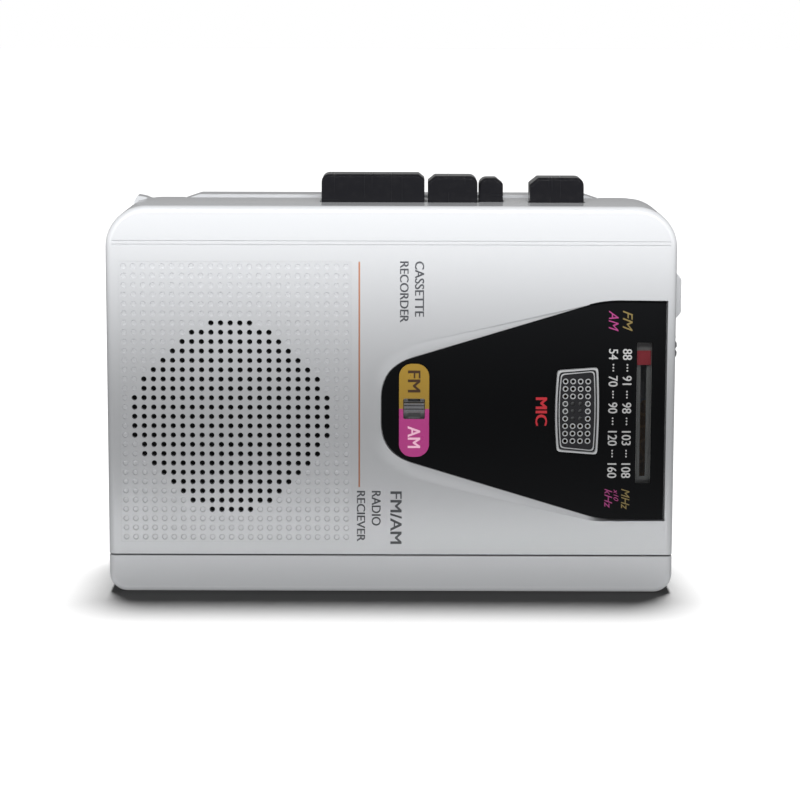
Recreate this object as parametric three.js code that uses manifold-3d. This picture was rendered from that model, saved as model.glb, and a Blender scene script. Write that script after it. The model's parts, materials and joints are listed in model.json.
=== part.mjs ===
// A portable cassette recorder with an AM/FM radio and a built-in speaker, in millimetres.
// +X is to the right of the speaker face, +Y runs from that face to the cassette door, +Z is up.
// The origin is the middle of the base that the recorder stands on.
import * as THREE from "three";
import { mergeVertices } from "three/addons/utils/BufferGeometryUtils.js";
import Module from "manifold-3d";

const wasm = await Module();
wasm.setup();

// ---------------------------------------------------------------- driving dimensions
const CASE_W = 118;
const CASE_H = 81;
const CASE_D = 38;
const WALL = 1.8;
const FACE_WALL = 2.6; // the speaker face is thicker, for the window's ledge
const TOP_CORNER_R = 8.5;
const BOTTOM_CORNER_R = 3.8;
const EDGE = 1.2; // bevel round the two large faces
const REAR_CASE_D = 14; // depth of the rear half
const REAR_STEP = 0.9; // the rear half's top is this much lower
const GAP = 0.3; // clearance between pieces that meet
const SEAT = 0.1; // clearance under a piece that is glued or pressed onto its seat
const GROOVE_W = 0.9;
const GROOVE_DEPTH = 0.5;
const TOP_BAND_H = 7.6;

const COVER_H = 7.8; // the battery cover's front band
const CELL_D = 14.5; // AA cell
const CELL_L = 50.5;
const CELL_COUNT = 2;
const BAY_CLEARANCE = 0.4;
const BAY_WALL = 1.1;
const COVER_FLOOR = 1.5;
const BAY_SPRING_L = 4.4;

const SPEAKER_R = 18.9;
const SPEAKER_FROM_LEFT = 25.7;
const SPEAKER_ABOVE_BAY = 0.5; // from the battery bay's roof to the speaker's rim
const SPEAKER_DEPTH = 8;
const GRILLE_R = 20;
const GRILLE_PITCH = 3.92;
const GRILLE_SLOT_H = 1.2;

const WINDOW_T = 0.8;
const WINDOW_SUNK = 0.9;
const WINDOW_LEDGE = 1.2;
const WINDOW_H = 46; // at its tall right-hand end
const WINDOW_TIP_H = 18; // at its narrow left-hand end
const WINDOW_CORNER = 6.5;
const WINDOW_W = 59;
const WINDOW_SHOULDER = 13; // length of its level stretch at the right
const WINDOW_MARGIN = 2; // from its right edge to the case's side
const WINDOW_MID_H = 38.5;

const MIC_W = 9.4;
const MIC_H = 18.3;
const MIC_FROM_RIGHT = 20.4;
const MIC_HOLE_PITCH = 1.55;
const BAND_PLATE_W = 6.3;
const BAND_PLATE_H = 19.6;
const BAND_PLATE_CORNER = 2.2;
const BAND_PLATE_FROM_RIGHT = 54.2;
const BAND_SLOT_W = 4.5;
const BAND_TRAVEL = 1.2;
const BAND_KNOB_H = 2.4;
const BAND_SLOT_SPARE = 0.7; // the slot is this much longer than the knob and its travel

const WHEEL_PROUD = 1.05; // how far a thumbwheel stands out of the case's side
const WHEEL_T = 2.6;
const FUNCTION_DROP = 19.7; // from the case's top to the function switch
const FUNCTION_L = 9.6;
const FUNCTION_PROUD = 2.2;
const FUNCTION_TRAVEL = 3;
const TUNING_R = 12.6;
const TUNING_DEPTH = 8.1; // from the speaker face to the wheel
const TUNING_DROP = 30.4; // from the case's top to the wheel's axis
const VOLUME_R = 11.5;
const VOLUME_DROP = 51;
const SHAFT_HOLE_R = 1.6; // a thumbwheel's hole
const SHAFT_R = 1.4; // the shaft in it
const KNURL = 0.35; // depth of a thumbwheel's knurling
const JACK_FROM_FACE = 16;
const JACK_L = 11;
// Each jack's radius, its bore's radius and its height.
const JACKS = [
  { name: "headphone_jack", r: 3, bore: 1.8, z: CASE_H * 0.54 },
  { name: "power_jack", r: 2.8, bore: 1.7, z: CASE_H * 0.37 },
];
const GEAR_MODULE = 0.8;
const PRESSURE = THREE.MathUtils.degToRad(25); // the teeth's pressure angle
const ADDENDUM = 0.8 * GEAR_MODULE;
const DEDENDUM = 1.1 * GEAR_MODULE;
const BACKLASH = 0.2;
const PINION_TEETH = 13;
const POINTER_TRAVEL = 24.3;
const POINTER_W = 2.9;
const POINTER_FROM_RIGHT = 6.4;
const POINTER_DROP = 31.5; // from the case's top to the pointer at the top of its scale
const POINTER_H = 3;
const DIAL_SLOT_SPARE = 1.8;

const KEY_D = 8;
const KEY_FROM_FACE = 11.5;
const KEY_TRAVEL = 4;
const KEY_SPRING_L = 7.3;
const KEY_FLANGE = 0.7;
// Each key's left edge and width, how far it stands above the case, and how far back it sits.
const KEYS = [
  { name: "play", x: -14.7, w: 21.6, up: 5.85, back: 0 },
  { name: "fast_forward", x: 7.65, w: 10.35, up: 5.5, back: 0 },
  { name: "record", x: 18.4, w: 5, up: 5, back: 1.6 },
  { name: "stop_eject", x: 29, w: 11.3, up: 5.2, back: 0 },
];

const CASSETTE_W = 100.4; // the compact cassette that the bay takes
const CASSETTE_H = 63.8;
const CASSETTE_T = 8.7;
const CASSETTE_TOP_GAP = 13.6; // from the cassette's head edge to the case's top
const HUB_FROM_HEAD_EDGE = 34.5;
const HUB_SPACING = 42.5;
const PLATE_T = 1; // the steel chassis plate
const PLATE_FROM_BACK = 16.4; // from the rear to the chassis plate's front
const REEL_HOLE_R = 2.2; // the chassis plate's holes for the reels' shafts
const BEARING_R = 2.4;
const CAPSTAN_R = 1;
const CAPSTAN_TEETH = 10;
const IDLER_TEETH = 15;
const REEL_TEETH = 30;
const CAPSTAN_OFFSET = 0.75; // the capstan stands this far outside the reel's axis
const FLYWHEEL_R = 12;
const PINCH_R = 5.5;
const MOTOR_R = 10.5;
const MOTOR_FROM_LEFT = 13.5;
const MOTOR_DROP = 13.5;
const PULLEY_R = 2.6;
const BELT_T = 0.5;

const DOOR_T = 1.8;
const DOOR_SIDE = 5.4; // from the case's side to the door's edge
const DOOR_TOP_DROP = 2.6;
const HINGE_R = 1.9;
const HINGE_H = 6.1;
const HINGE_PIN_R = 0.9;
const LIP_W = 90;
const LIP_UP = 1.15; // the door's finger lip above the rear case
const LIP_SLOPE = 3.4; // how far its ends slope in
const LIP_D = 8;
const DOOR_WINDOW_W = 66;
const DOOR_WINDOW_H = 24;
const SCREW_R = 1;
const SCREW_HEAD_R = 2;
const SCREW_L = 18;
const SCREW_BOSS = 2.8; // half the width of the post round a screw
const POST_AHEAD = 3.8; // how far a screw post starts ahead of the chassis plate

// ---------------------------------------------------------------- places worked out from them
const FACE_Y = -CASE_D / 2;
const BACK_Y = CASE_D / 2;
const SPLIT_Y = BACK_Y - REAR_CASE_D;
const PLATE_Y = BACK_Y - PLATE_FROM_BACK;
const SIDE_X = CASE_W / 2;
const INNER_FACE_Y = FACE_Y + FACE_WALL;
const THROUGH_FACE = [FACE_Y - 1, INNER_FACE_Y + 1];
const WIDE = [-CASE_W, CASE_W]; // wider than the case, for cutting right across it
const TOP_INNER_Z = CASE_H - WALL;
const SPEAKER_X = -SIDE_X + SPEAKER_FROM_LEFT;
const HUB_Z = CASE_H - CASSETTE_TOP_GAP - HUB_FROM_HEAD_EDGE;
const TAKE_UP_X = HUB_SPACING / 2;
const GEAR_SPAN = (GEAR_MODULE * (CAPSTAN_TEETH + 2 * IDLER_TEETH + REEL_TEETH)) / 2;
const CAPSTAN_X = TAKE_UP_X + CAPSTAN_OFFSET;
const CAPSTAN_Z = HUB_Z + Math.sqrt(GEAR_SPAN ** 2 - CAPSTAN_OFFSET ** 2);
const LINE_ANGLE = Math.atan2(HUB_Z - CAPSTAN_Z, TAKE_UP_X - CAPSTAN_X); // from the capstan to the reel
const IDLER_SHARE = (CAPSTAN_TEETH + IDLER_TEETH) / (CAPSTAN_TEETH + 2 * IDLER_TEETH + REEL_TEETH);
const IDLER_X = CAPSTAN_X + (TAKE_UP_X - CAPSTAN_X) * IDLER_SHARE;
const IDLER_Z = CAPSTAN_Z + (HUB_Z - CAPSTAN_Z) * IDLER_SHARE;
const TAPE_Y = PLATE_Y + PLATE_T + 6.95; // the middle of the tape
const HEAD_BASE_Y = PLATE_Y + PLATE_T + 0.4;
const GEAR_Y = [PLATE_Y - 2.4, PLATE_Y - 0.5];
const FLYWHEEL_Y = [PLATE_Y - 6.2, PLATE_Y - 2.8];
const TUNING_Y = FACE_Y + TUNING_DEPTH;
const TUNING_X = SIDE_X + WHEEL_PROUD - TUNING_R;
const TUNING_Z = CASE_H - TUNING_DROP;
const PINION_R = (GEAR_MODULE * PINION_TEETH) / 2;
const RACK_X = TUNING_X - PINION_R;
const POINTER_X = SIDE_X - POINTER_FROM_RIGHT;
const VOLUME_X = SIDE_X + WHEEL_PROUD - VOLUME_R;
const VOLUME_Y = PLATE_Y - 4.1;
const VOLUME_Z = CASE_H - VOLUME_DROP;
const FUNCTION_Z = CASE_H - FUNCTION_DROP;
const FUNCTION_Y = [FACE_Y + 13.4, FACE_Y + 15.6];
const JACK_Y = FACE_Y + JACK_FROM_FACE;
const WINDOW_Y = [FACE_Y + WINDOW_SUNK, FACE_Y + WINDOW_SUNK + WINDOW_T];
const WINDOW_RIGHT = SIDE_X - WINDOW_MARGIN;
const MIC_X = SIDE_X - MIC_FROM_RIGHT;
const BAND_X = SIDE_X - BAND_PLATE_FROM_RIGHT;
const BAND_SLOT_H = BAND_KNOB_H + BAND_TRAVEL + BAND_SLOT_SPARE;
const BAND_SLOT_Z = WINDOW_MID_H + 0.35;
const POINTER_Z = CASE_H - POINTER_DROP;
const DIAL_BACKING_Y = WINDOW_Y[1] + 0.9;
const KEY_Y = FACE_Y + KEY_FROM_FACE;
const BOARD_Y = [FACE_Y + KEY_FROM_FACE, FACE_Y + KEY_FROM_FACE + 1.2];
const BAY_Y = [INNER_FACE_Y, INNER_FACE_Y + CELL_D + BAY_CLEARANCE];
const BAY_TOP_Z = COVER_FLOOR + GAP + CELL_D + BAY_CLEARANCE;
const BAY_X = (CELL_L * CELL_COUNT + BAY_SPRING_L) / 2;
const SPEAKER_Z = BAY_TOP_Z + BAY_WALL + SPEAKER_ABOVE_BAY + SPEAKER_R;
const MOTOR_X = -SIDE_X + MOTOR_FROM_LEFT;
const MOTOR_Z = CASE_H - MOTOR_DROP;
const DOOR_X = SIDE_X - DOOR_SIDE;
const DOOR_TOP_Z = CASE_H - DOOR_TOP_DROP;
const HINGE_Y = BACK_Y - HINGE_R;
const REAR_TOP_Z = CASE_H - REAR_STEP;
const SCREW_X = SIDE_X - 3.1;
const SCREW_Z = [CASE_H * 0.19, CASE_H * 0.81];

// ---------------------------------------------------------------- materials
const matter = (color, roughness, metalness) =>
  new THREE.MeshStandardMaterial({ color, roughness, metalness });
const plastic = (color, roughness = 0.45) => matter(color, roughness, 0);
const metal = (color, roughness = 0.35) => matter(color, roughness, 1);
const seeThrough = (color, opacity) =>
  new THREE.MeshStandardMaterial({ color, roughness: 0.05, transparent: true, opacity });
const MATERIAL = {
  silver: matter(0xc6c8ca, 0.38, 0.35),
  black: plastic(0x1c1d20, 0.28),
  lens: plastic(0x0a0b0d, 0.08),
  gold: plastic(0x8a6d14, 0.35),
  red: plastic(0xa02035, 0.4),
  wheel: plastic(0x5b5d60, 0.5),
  chrome: metal(0xd8d8da, 0.12),
  clear: seeThrough(0xb8c0c4, 0.35),
  steel: metal(0xa9adb1),
  spring: metal(0x9a9da2, 0.3),
  brass: metal(0xb08d3c, 0.4),
  magnet: plastic(0x2a2a2c, 0.6),
  cone: plastic(0x161616, 0.9),
  rubber: plastic(0x141414, 0.85),
  nylon: plastic(0xe6e2d6, 0.5),
  board: plastic(0x7a5a2a, 0.6),
  ferrite: plastic(0x3b3836, 0.7),
  copper: metal(0xb4672f, 0.4),
};

// ---------------------------------------------------------------- geometry helpers
/** A closed geometry as a manifold-3d solid. */
function solid(geometry) {
  const g = geometry.index ? geometry.toNonIndexed() : geometry.clone();
  g.deleteAttribute("normal");
  g.deleteAttribute("uv");
  const merged = mergeVertices(g, 1e-4);
  const mesh = new wasm.Mesh({
    numProp: 3,
    vertProperties: merged.attributes.position.array,
    triVerts: new Uint32Array(merged.index.array),
  });
  return new wasm.Manifold(mesh);
}

/** A solid as a geometry that a mesh can show. */
function geometryOf(shape) {
  const mesh = shape.getMesh();
  return new THREE.BufferGeometry()
    .setAttribute("position", new THREE.BufferAttribute(mesh.vertProperties, 3))
    .setIndex(new THREE.BufferAttribute(mesh.triVerts, 1));
}

const join = (first, ...rest) => rest.reduce((sum, s) => sum.add(s), first);
const cut = (first, ...rest) => rest.reduce((left, s) => left.subtract(s), first);

/** A box from three [low, high] ranges. */
function block([x0, x1], [y0, y1], [z0, z1]) {
  const g = new THREE.BoxGeometry(x1 - x0, y1 - y0, z1 - z0);
  return solid(g.translate((x0 + x1) / 2, (y0 + y1) / 2, (z0 + z1) / 2));
}

/** An outline drawn in X and Z, extruded along Y from y0 to y1. */
function alongY(shape, [y0, y1], curveSegments = 6) {
  const g = new THREE.ExtrudeGeometry(shape, { depth: y1 - y0, bevelEnabled: false, curveSegments });
  return solid(g.rotateX(Math.PI / 2).translate(0, y1, 0));
}

/** An outline drawn in Y and Z, extruded along X from x0 to x1. */
function alongX(shape, [x0, x1]) {
  const g = new THREE.ExtrudeGeometry(shape, { depth: x1 - x0, bevelEnabled: false });
  return solid(g.rotateX(Math.PI / 2).rotateZ(Math.PI / 2).translate(x0, 0, 0));
}

/** A round rod along "x", "y" or "z". centre holds its two other coordinates, in X, Y, Z order. */
function rod(axis, radius, [from, to], centre = [0, 0], sides = 16) {
  const g = new THREE.CylinderGeometry(radius, radius, to - from, sides);
  const mid = (from + to) / 2;
  if (axis === "x") g.rotateZ(Math.PI / 2).translate(mid, centre[0], centre[1]);
  if (axis === "y") g.translate(centre[0], mid, centre[1]);
  if (axis === "z") g.rotateX(Math.PI / 2).translate(centre[0], centre[1], mid);
  return solid(g);
}

/** [radius, y] points turned about the Y axis. They start and end on the axis or close on themselves. */
function turned(profile, sides = 24) {
  const points = profile.map(([r, y]) => new THREE.Vector2(r, y));
  const shape = solid(new THREE.LatheGeometry(points, sides));
  if (shape.volume() > 0) return shape;
  return solid(new THREE.LatheGeometry(points.reverse(), sides));
}

/** A rectangle with its own radius at each corner: low-left, low-right, high-right, high-left. */
function rounded([x0, x1], [z0, z1], [ll, lr, hr, hl]) {
  const s = new THREE.Shape();
  s.moveTo(x0 + ll, z0);
  s.lineTo(x1 - lr, z0);
  s.absarc(x1 - lr, z0 + lr, lr, -Math.PI / 2, 0);
  s.lineTo(x1, z1 - hr);
  s.absarc(x1 - hr, z1 - hr, hr, 0, Math.PI / 2);
  s.lineTo(x0 + hl, z1);
  s.absarc(x0 + hl, z1 - hl, hl, Math.PI / 2, Math.PI);
  s.lineTo(x0, z0 + ll);
  s.absarc(x0 + ll, z0 + ll, ll, Math.PI, 1.5 * Math.PI);
  return s;
}

/** A closed outline through [a, b] points. */
const outline = (points) => new THREE.Shape(points.map(([a, b]) => new THREE.Vector2(a, b)));

/** The case's outline, taken in by an inset. */
function caseOutline(inset, top = CASE_H) {
  const low = Math.max(BOTTOM_CORNER_R - inset, 0.4);
  const high = Math.max(TOP_CORNER_R - inset, 0.4);
  return rounded([-SIDE_X + inset, SIDE_X - inset], [inset, top - inset], [low, low, high, high]);
}

/** A ring of [angle, radius] points as an outline. */
const polar = (points) => outline(points.map(([a, r]) => [r * Math.cos(a), r * Math.sin(a)]));

/** A spur gear's outline with stub involute teeth, one tooth centred on the angle phase. */
function gearOutline(teeth, phase) {
  const pitchR = (GEAR_MODULE * teeth) / 2;
  const baseR = pitchR * Math.cos(PRESSURE);
  const involute = (r) => {
    const a = Math.acos(Math.min(1, baseR / r));
    return Math.tan(a) - a;
  };
  const half = (r) => (Math.PI / 2 - BACKLASH / (2 * GEAR_MODULE)) / teeth + involute(pitchR) - involute(r);
  const radii = [pitchR - DEDENDUM, pitchR, pitchR + ADDENDUM];
  const points = [];
  for (let i = 0; i < teeth; i++) {
    const mid = phase + (2 * Math.PI * i) / teeth;
    radii.forEach((r) => points.push([mid - half(r), r]));
    [...radii].reverse().forEach((r) => points.push([mid + half(r), r]));
  }
  return polar(points);
}

/** A knurled disc's outline: ridges round a rim. */
function knurledOutline(radius, ridges, depth) {
  const points = [];
  for (let i = 0; i < ridges; i++) {
    const a = (2 * Math.PI * i) / ridges;
    const step = (2 * Math.PI) / ridges;
    points.push([a, radius - depth], [a + step * 0.25, radius], [a + step * 0.65, radius]);
  }
  return polar(points);
}

/** A coil spring along +Z from the origin, as one closed wire. */
function coil(radius, wire, height, turns, steps = 9) {
  const points = [];
  for (let i = 0; i <= turns * steps; i++) {
    const a = (2 * Math.PI * i) / steps;
    const z = (height * i) / (turns * steps);
    points.push(new THREE.Vector3(radius * Math.cos(a), radius * Math.sin(a), z));
  }
  const section = polar([0, 1, 2, 3].map((k) => [(k * Math.PI) / 2, wire]));
  const path = new THREE.CatmullRomCurve3(points);
  return solid(new THREE.ExtrudeGeometry(section, { steps: turns * steps, extrudePath: path }));
}

const part = new THREE.Group();

/** Adds a solid to the part as a named mesh at a place. */
function add(name, material, shape, at = [0, 0, 0]) {
  const mesh = new THREE.Mesh(geometryOf(shape), material);
  mesh.name = name;
  mesh.position.set(...at);
  part.add(mesh);
}

// ---------------------------------------------------------------- the case
/** The whole case's outer solid, its two large faces bevelled. */
function caseBody() {
  const shape = caseOutline(EDGE);
  const g = new THREE.ExtrudeGeometry(shape, {
    depth: CASE_D - 2 * EDGE,
    bevelThickness: EDGE,
    bevelSize: EDGE,
    bevelSegments: 2,
    curveSegments: 5,
  });
  return solid(g.rotateX(Math.PI / 2).translate(0, BACK_Y - EDGE, 0));
}

/** The tuning window's outline, grown by a margin: a blunt wedge that widens to the right. */
function windowOutline(grow = 0) {
  const right = WINDOW_RIGHT + grow;
  const left = right - WINDOW_W - 2 * grow;
  const tall = WINDOW_H / 2 + grow;
  const tip = WINDOW_TIP_H / 2 + grow;
  const shoulder = right - WINDOW_SHOULDER;
  const slope = (tall - tip) / (shoulder - left);
  const corner = WINDOW_CORNER;
  const z = WINDOW_MID_H;
  const s = new THREE.Shape();
  s.moveTo(right, z - tall);
  s.lineTo(right, z + tall);
  s.lineTo(shoulder + 2, z + tall);
  s.quadraticCurveTo(shoulder, z + tall, shoulder - 4, z + tall - 4 * slope);
  s.lineTo(left + corner, z + tip + corner * slope);
  s.quadraticCurveTo(left, z + tip, left, z + tip - corner);
  s.lineTo(left, z - tip + corner);
  s.quadraticCurveTo(left, z - tip, left + corner, z - tip - corner * slope);
  s.lineTo(shoulder - 4, z - tall + 4 * slope);
  s.quadraticCurveTo(shoulder, z - tall, shoulder + 2, z - tall);
  s.closePath();
  return s;
}

/** The sound openings: level slots that fill a circle in front of the speaker. */
function soundSlots() {
  const rows = Math.floor(GRILLE_R / GRILLE_PITCH);
  const slots = [];
  for (let i = -rows + 1; i < rows; i++) {
    const z = SPEAKER_Z + i * GRILLE_PITCH;
    const half = Math.sqrt(GRILLE_R ** 2 - (i * GRILLE_PITCH) ** 2) - GRILLE_SLOT_H;
    const x = [SPEAKER_X - half, SPEAKER_X + half];
    slots.push(block(x, THROUGH_FACE, [z - GRILLE_SLOT_H / 2, z + GRILLE_SLOT_H / 2]));
  }
  return slots;
}

/** Where a key passes the case's top, as ranges in X and Y. */
function keyFootprint(key, grow) {
  const y = KEY_Y + key.back;
  return [
    [key.x - grow, key.x + key.w + grow],
    [y - grow, y + KEY_D - key.back + grow],
  ];
}

/** The walls of the battery bay. */
function bayWalls() {
  const end = BAY_X + BAY_WALL;
  const roof = [BAY_TOP_Z, BAY_TOP_Z + BAY_WALL];
  const endY = [BAY_Y[0] - 0.5, BAY_Y[1] + 0.5];
  const endZ = [COVER_FLOOR + GAP, BAY_TOP_Z + 0.5];
  return join(
    block([-end, end], [INNER_FACE_Y - 0.5, BAY_Y[1] + BAY_WALL], roof),
    block([-end, end], [BAY_Y[1], BAY_Y[1] + BAY_WALL], [0.5, BAY_TOP_Z + 0.5]),
    block([-end, -BAY_X], endY, endZ),
    block([BAY_X, end], endY, endZ),
  );
}

/** The room for the battery cover: everything low in front but the bay's own walls. */
function coverSpace() {
  const end = BAY_X + BAY_WALL;
  return cut(
    block(WIDE, [FACE_Y - 1, BAY_Y[1]], [-1, COVER_H + GAP]),
    block([-end, end], [BAY_Y[0] - 0.1, BAY_Y[1] + 1], [COVER_FLOOR + GAP, COVER_H + 1]),
  );
}

/** Calls back with each case screw's side, -1 or 1, and its height. */
function eachScrew(visit) {
  for (const side of [-1, 1]) SCREW_Z.forEach((z, i) => visit(side, z, i + 1));
}

/** A range on the right, or its mirror image on the left. */
const mirrored = (side, [from, to]) => (side > 0 ? [from, to] : [-to, -from]);

/** The posts that the case screws bite into, and the holes in them. */
function screwPosts() {
  const posts = [];
  const threads = [];
  const threadY = [BACK_Y - SCREW_L - 1, SPLIT_Y + 1];
  eachScrew((side, z) => {
    const x = mirrored(side, [DOOR_X + GAP, SIDE_X - WALL + 0.2]);
    posts.push(block(x, [PLATE_Y - POST_AHEAD, SPLIT_Y], [z - SCREW_BOSS, z + SCREW_BOSS]));
    threads.push(rod("y", SCREW_R + 0.1, threadY, [side * SCREW_X, z], 12));
  });
  return { posts, threads };
}

function addFrontCase() {
  const inFront = block(WIDE, [FACE_Y - 1, SPLIT_Y], [-1, CASE_H + 1]);
  const hollow = alongY(caseOutline(WALL), [INNER_FACE_Y, SPLIT_Y + 1]);
  const { posts, threads } = screwPosts();
  const walls = join(cut(caseBody().intersect(inFront), hollow), bayWalls(), ...posts);
  const bayHollow = block([-BAY_X, BAY_X], BAY_Y, [-1, BAY_TOP_Z]);
  const pocket = alongY(windowOutline(GAP), [FACE_Y - 1, WINDOW_Y[1] + SEAT]);
  const opening = alongY(windowOutline(-WINDOW_LEDGE), THROUGH_FACE);
  const grooveZ = CASE_H - TOP_BAND_H;
  const grooveY = [FACE_Y - 1, FACE_Y + GROOVE_DEPTH];
  const groove = block(WIDE, grooveY, [grooveZ - GROOVE_W / 2, grooveZ + GROOVE_W / 2]);
  const keyHoles = KEYS.map((k) => block(...keyFootprint(k, GAP), [TOP_INNER_Z - 1, CASE_H + 1]));
  const switchZ = [FUNCTION_Z - FUNCTION_TRAVEL - 1.9, FUNCTION_Z + 1.9];
  const sideHoles = [
    sideSlot(TUNING_Z, TUNING_R, TUNING_Y),
    sideSlot(VOLUME_Z, VOLUME_R, VOLUME_Y),
    block([SIDE_X - WALL - 0.5, SIDE_X + 1], FUNCTION_Y, switchZ),
  ];
  const jackX = [-SIDE_X - 1, -SIDE_X + WALL + 1];
  const jackHoles = JACKS.map((j) => rod("x", j.r + GAP, jackX, [JACK_Y, j.z]));
  const holes = [pocket, opening, groove, ...soundSlots(), ...keyHoles, ...sideHoles, ...jackHoles];
  add("front_case", MATERIAL.silver, cut(walls, coverSpace(), bayHollow, ...threads, ...holes));
}

/** The slot in the right-hand wall that a thumbwheel stands out of. */
function sideSlot(z, radius, y) {
  const half = Math.sqrt(radius ** 2 - (radius - WHEEL_PROUD - WALL) ** 2) + GAP;
  return block([SIDE_X - WALL - 0.5, SIDE_X + 1], [y - GAP, y + WHEEL_T + GAP], [z - half, z + half]);
}

function addBatteryCover() {
  const shell = cut(caseBody(), alongY(caseOutline(WALL), [FACE_Y + WALL, BACK_Y + 1]));
  const strip = block(WIDE, [FACE_Y - 1, BAY_Y[1] - GAP], [-1, COVER_H]);
  const inner = SIDE_X - WALL + 0.2;
  const thinned = block([-inner, inner], [FACE_Y + WALL - 0.2, BAY_Y[1]], [COVER_FLOOR - 0.2, WALL + 0.1]);
  add("battery_cover", MATERIAL.silver, cut(shell.intersect(strip), thinned));
}

/** The bosses that hold the hinge pins and the screws' heads, and the bores in them. */
function backBosses() {
  const bosses = [];
  const bores = [];
  const inner = SIDE_X - WALL + 0.2;
  const near = DOOR_X + GAP;
  for (const side of [-1, 1]) {
    const x = mirrored(side, [near, inner]);
    bosses.push(block(x, [HINGE_Y - 2.6, BACK_Y - 0.4], [WALL - 0.2, HINGE_H + 2.6]));
    bores.push(rod("x", HINGE_PIN_R + 0.1, mirrored(side, [near - 1, inner - 0.8]), [HINGE_Y, HINGE_H]));
  }
  eachScrew((side, z) => {
    const at = [side * SCREW_X, z];
    const x = mirrored(side, [near, inner]);
    bosses.push(block(x, [SPLIT_Y + GAP, BACK_Y - 0.4], [z - SCREW_BOSS, z + SCREW_BOSS]));
    bores.push(rod("y", SCREW_R + 0.2, [SPLIT_Y - 1, BACK_Y], at, 12));
    bores.push(rod("y", SCREW_HEAD_R + GAP, [BACK_Y - 1.3, BACK_Y + 1], at, 12));
  });
  return { bosses, bores };
}

function addBackCase() {
  const rearTop = alongY(caseOutline(0, REAR_TOP_Z), [FACE_Y, BACK_Y + 1]);
  const behind = block(WIDE, [SPLIT_Y + GAP, BACK_Y + 1], [-1, CASE_H + 1]);
  const hollow = alongY(caseOutline(WALL, REAR_TOP_Z), [SPLIT_Y - 1, BACK_Y - DOOR_T]);
  const shell = cut(caseBody().intersect(behind).intersect(rearTop), hollow);
  const doorHalf = DOOR_X + GAP;
  const doorZ = [HINGE_H - HINGE_R - GAP, DOOR_TOP_Z + GAP];
  const doorHole = block([-doorHalf, doorHalf], [BACK_Y - DOOR_T - 1, BACK_Y + 1], doorZ);
  const lipHalf = LIP_W / 2 + GAP;
  const notchZ = [DOOR_TOP_Z - 1 - GAP, CASE_H + 2];
  const lipNotch = block([-lipHalf, lipHalf], [BACK_Y - LIP_D - GAP, BACK_Y + 1], notchZ);
  const { bosses, bores } = backBosses();
  add("back_case", MATERIAL.silver, cut(join(shell, strapEar(), ...bosses), doorHole, lipNotch, ...bores));
}

/** The ear that a wrist strap ties to, moulded on the rear half's top left corner. */
function strapEar() {
  const x = -SIDE_X + 3.6;
  const z = CASE_H - 3.2;
  const wedge = outline([
    [x, z - 1.6], [x + 3.8, z + 0.4], [x + 3.8, z + 2.6],
    [x + 2.4, z + 3.2], [x + 0.8, z + 3.5], [x, z + 2.2],
  ]);
  const eye = rod("y", 0.6, [SPLIT_Y, SPLIT_Y + 7], [x + 1.5, z + 1.9], 10);
  return cut(alongY(wedge, [SPLIT_Y + 1.2, SPLIT_Y + 6]), eye);
}

/** The door's two hinge pins, each part in its boss and part in the door. */
function addHingePins() {
  const start = DOOR_X - 3;
  const end = SIDE_X - WALL - 1;
  const pin = rod("x", HINGE_PIN_R, [0, end - start], [0, 0], 12);
  add("door_hinge_pin_left", MATERIAL.steel, pin, [-end, HINGE_Y, HINGE_H]);
  add("door_hinge_pin_right", MATERIAL.steel, pin, [start, HINGE_Y, HINGE_H]);
}

/** The four cross-head screws that hold the case's halves together. */
function addCaseScrews() {
  const head = rod("y", SCREW_HEAD_R, [-1, -0.2], [0, 0], 12);
  const shank = rod("y", SCREW_R, [-SCREW_L, -0.9], [0, 0], 12);
  const cross = [
    block([-1.3, 1.3], [-0.6, 0], [-0.25, 0.25]),
    block([-0.25, 0.25], [-0.6, 0], [-1.3, 1.3]),
  ];
  const screw = cut(join(head, shank), ...cross);
  eachScrew((side, z, number) => {
    const name = `case_screw_${side > 0 ? "right" : "left"}_${number}`;
    add(name, MATERIAL.steel, screw, [side * SCREW_X, BACK_Y, z]);
  });
}

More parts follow.
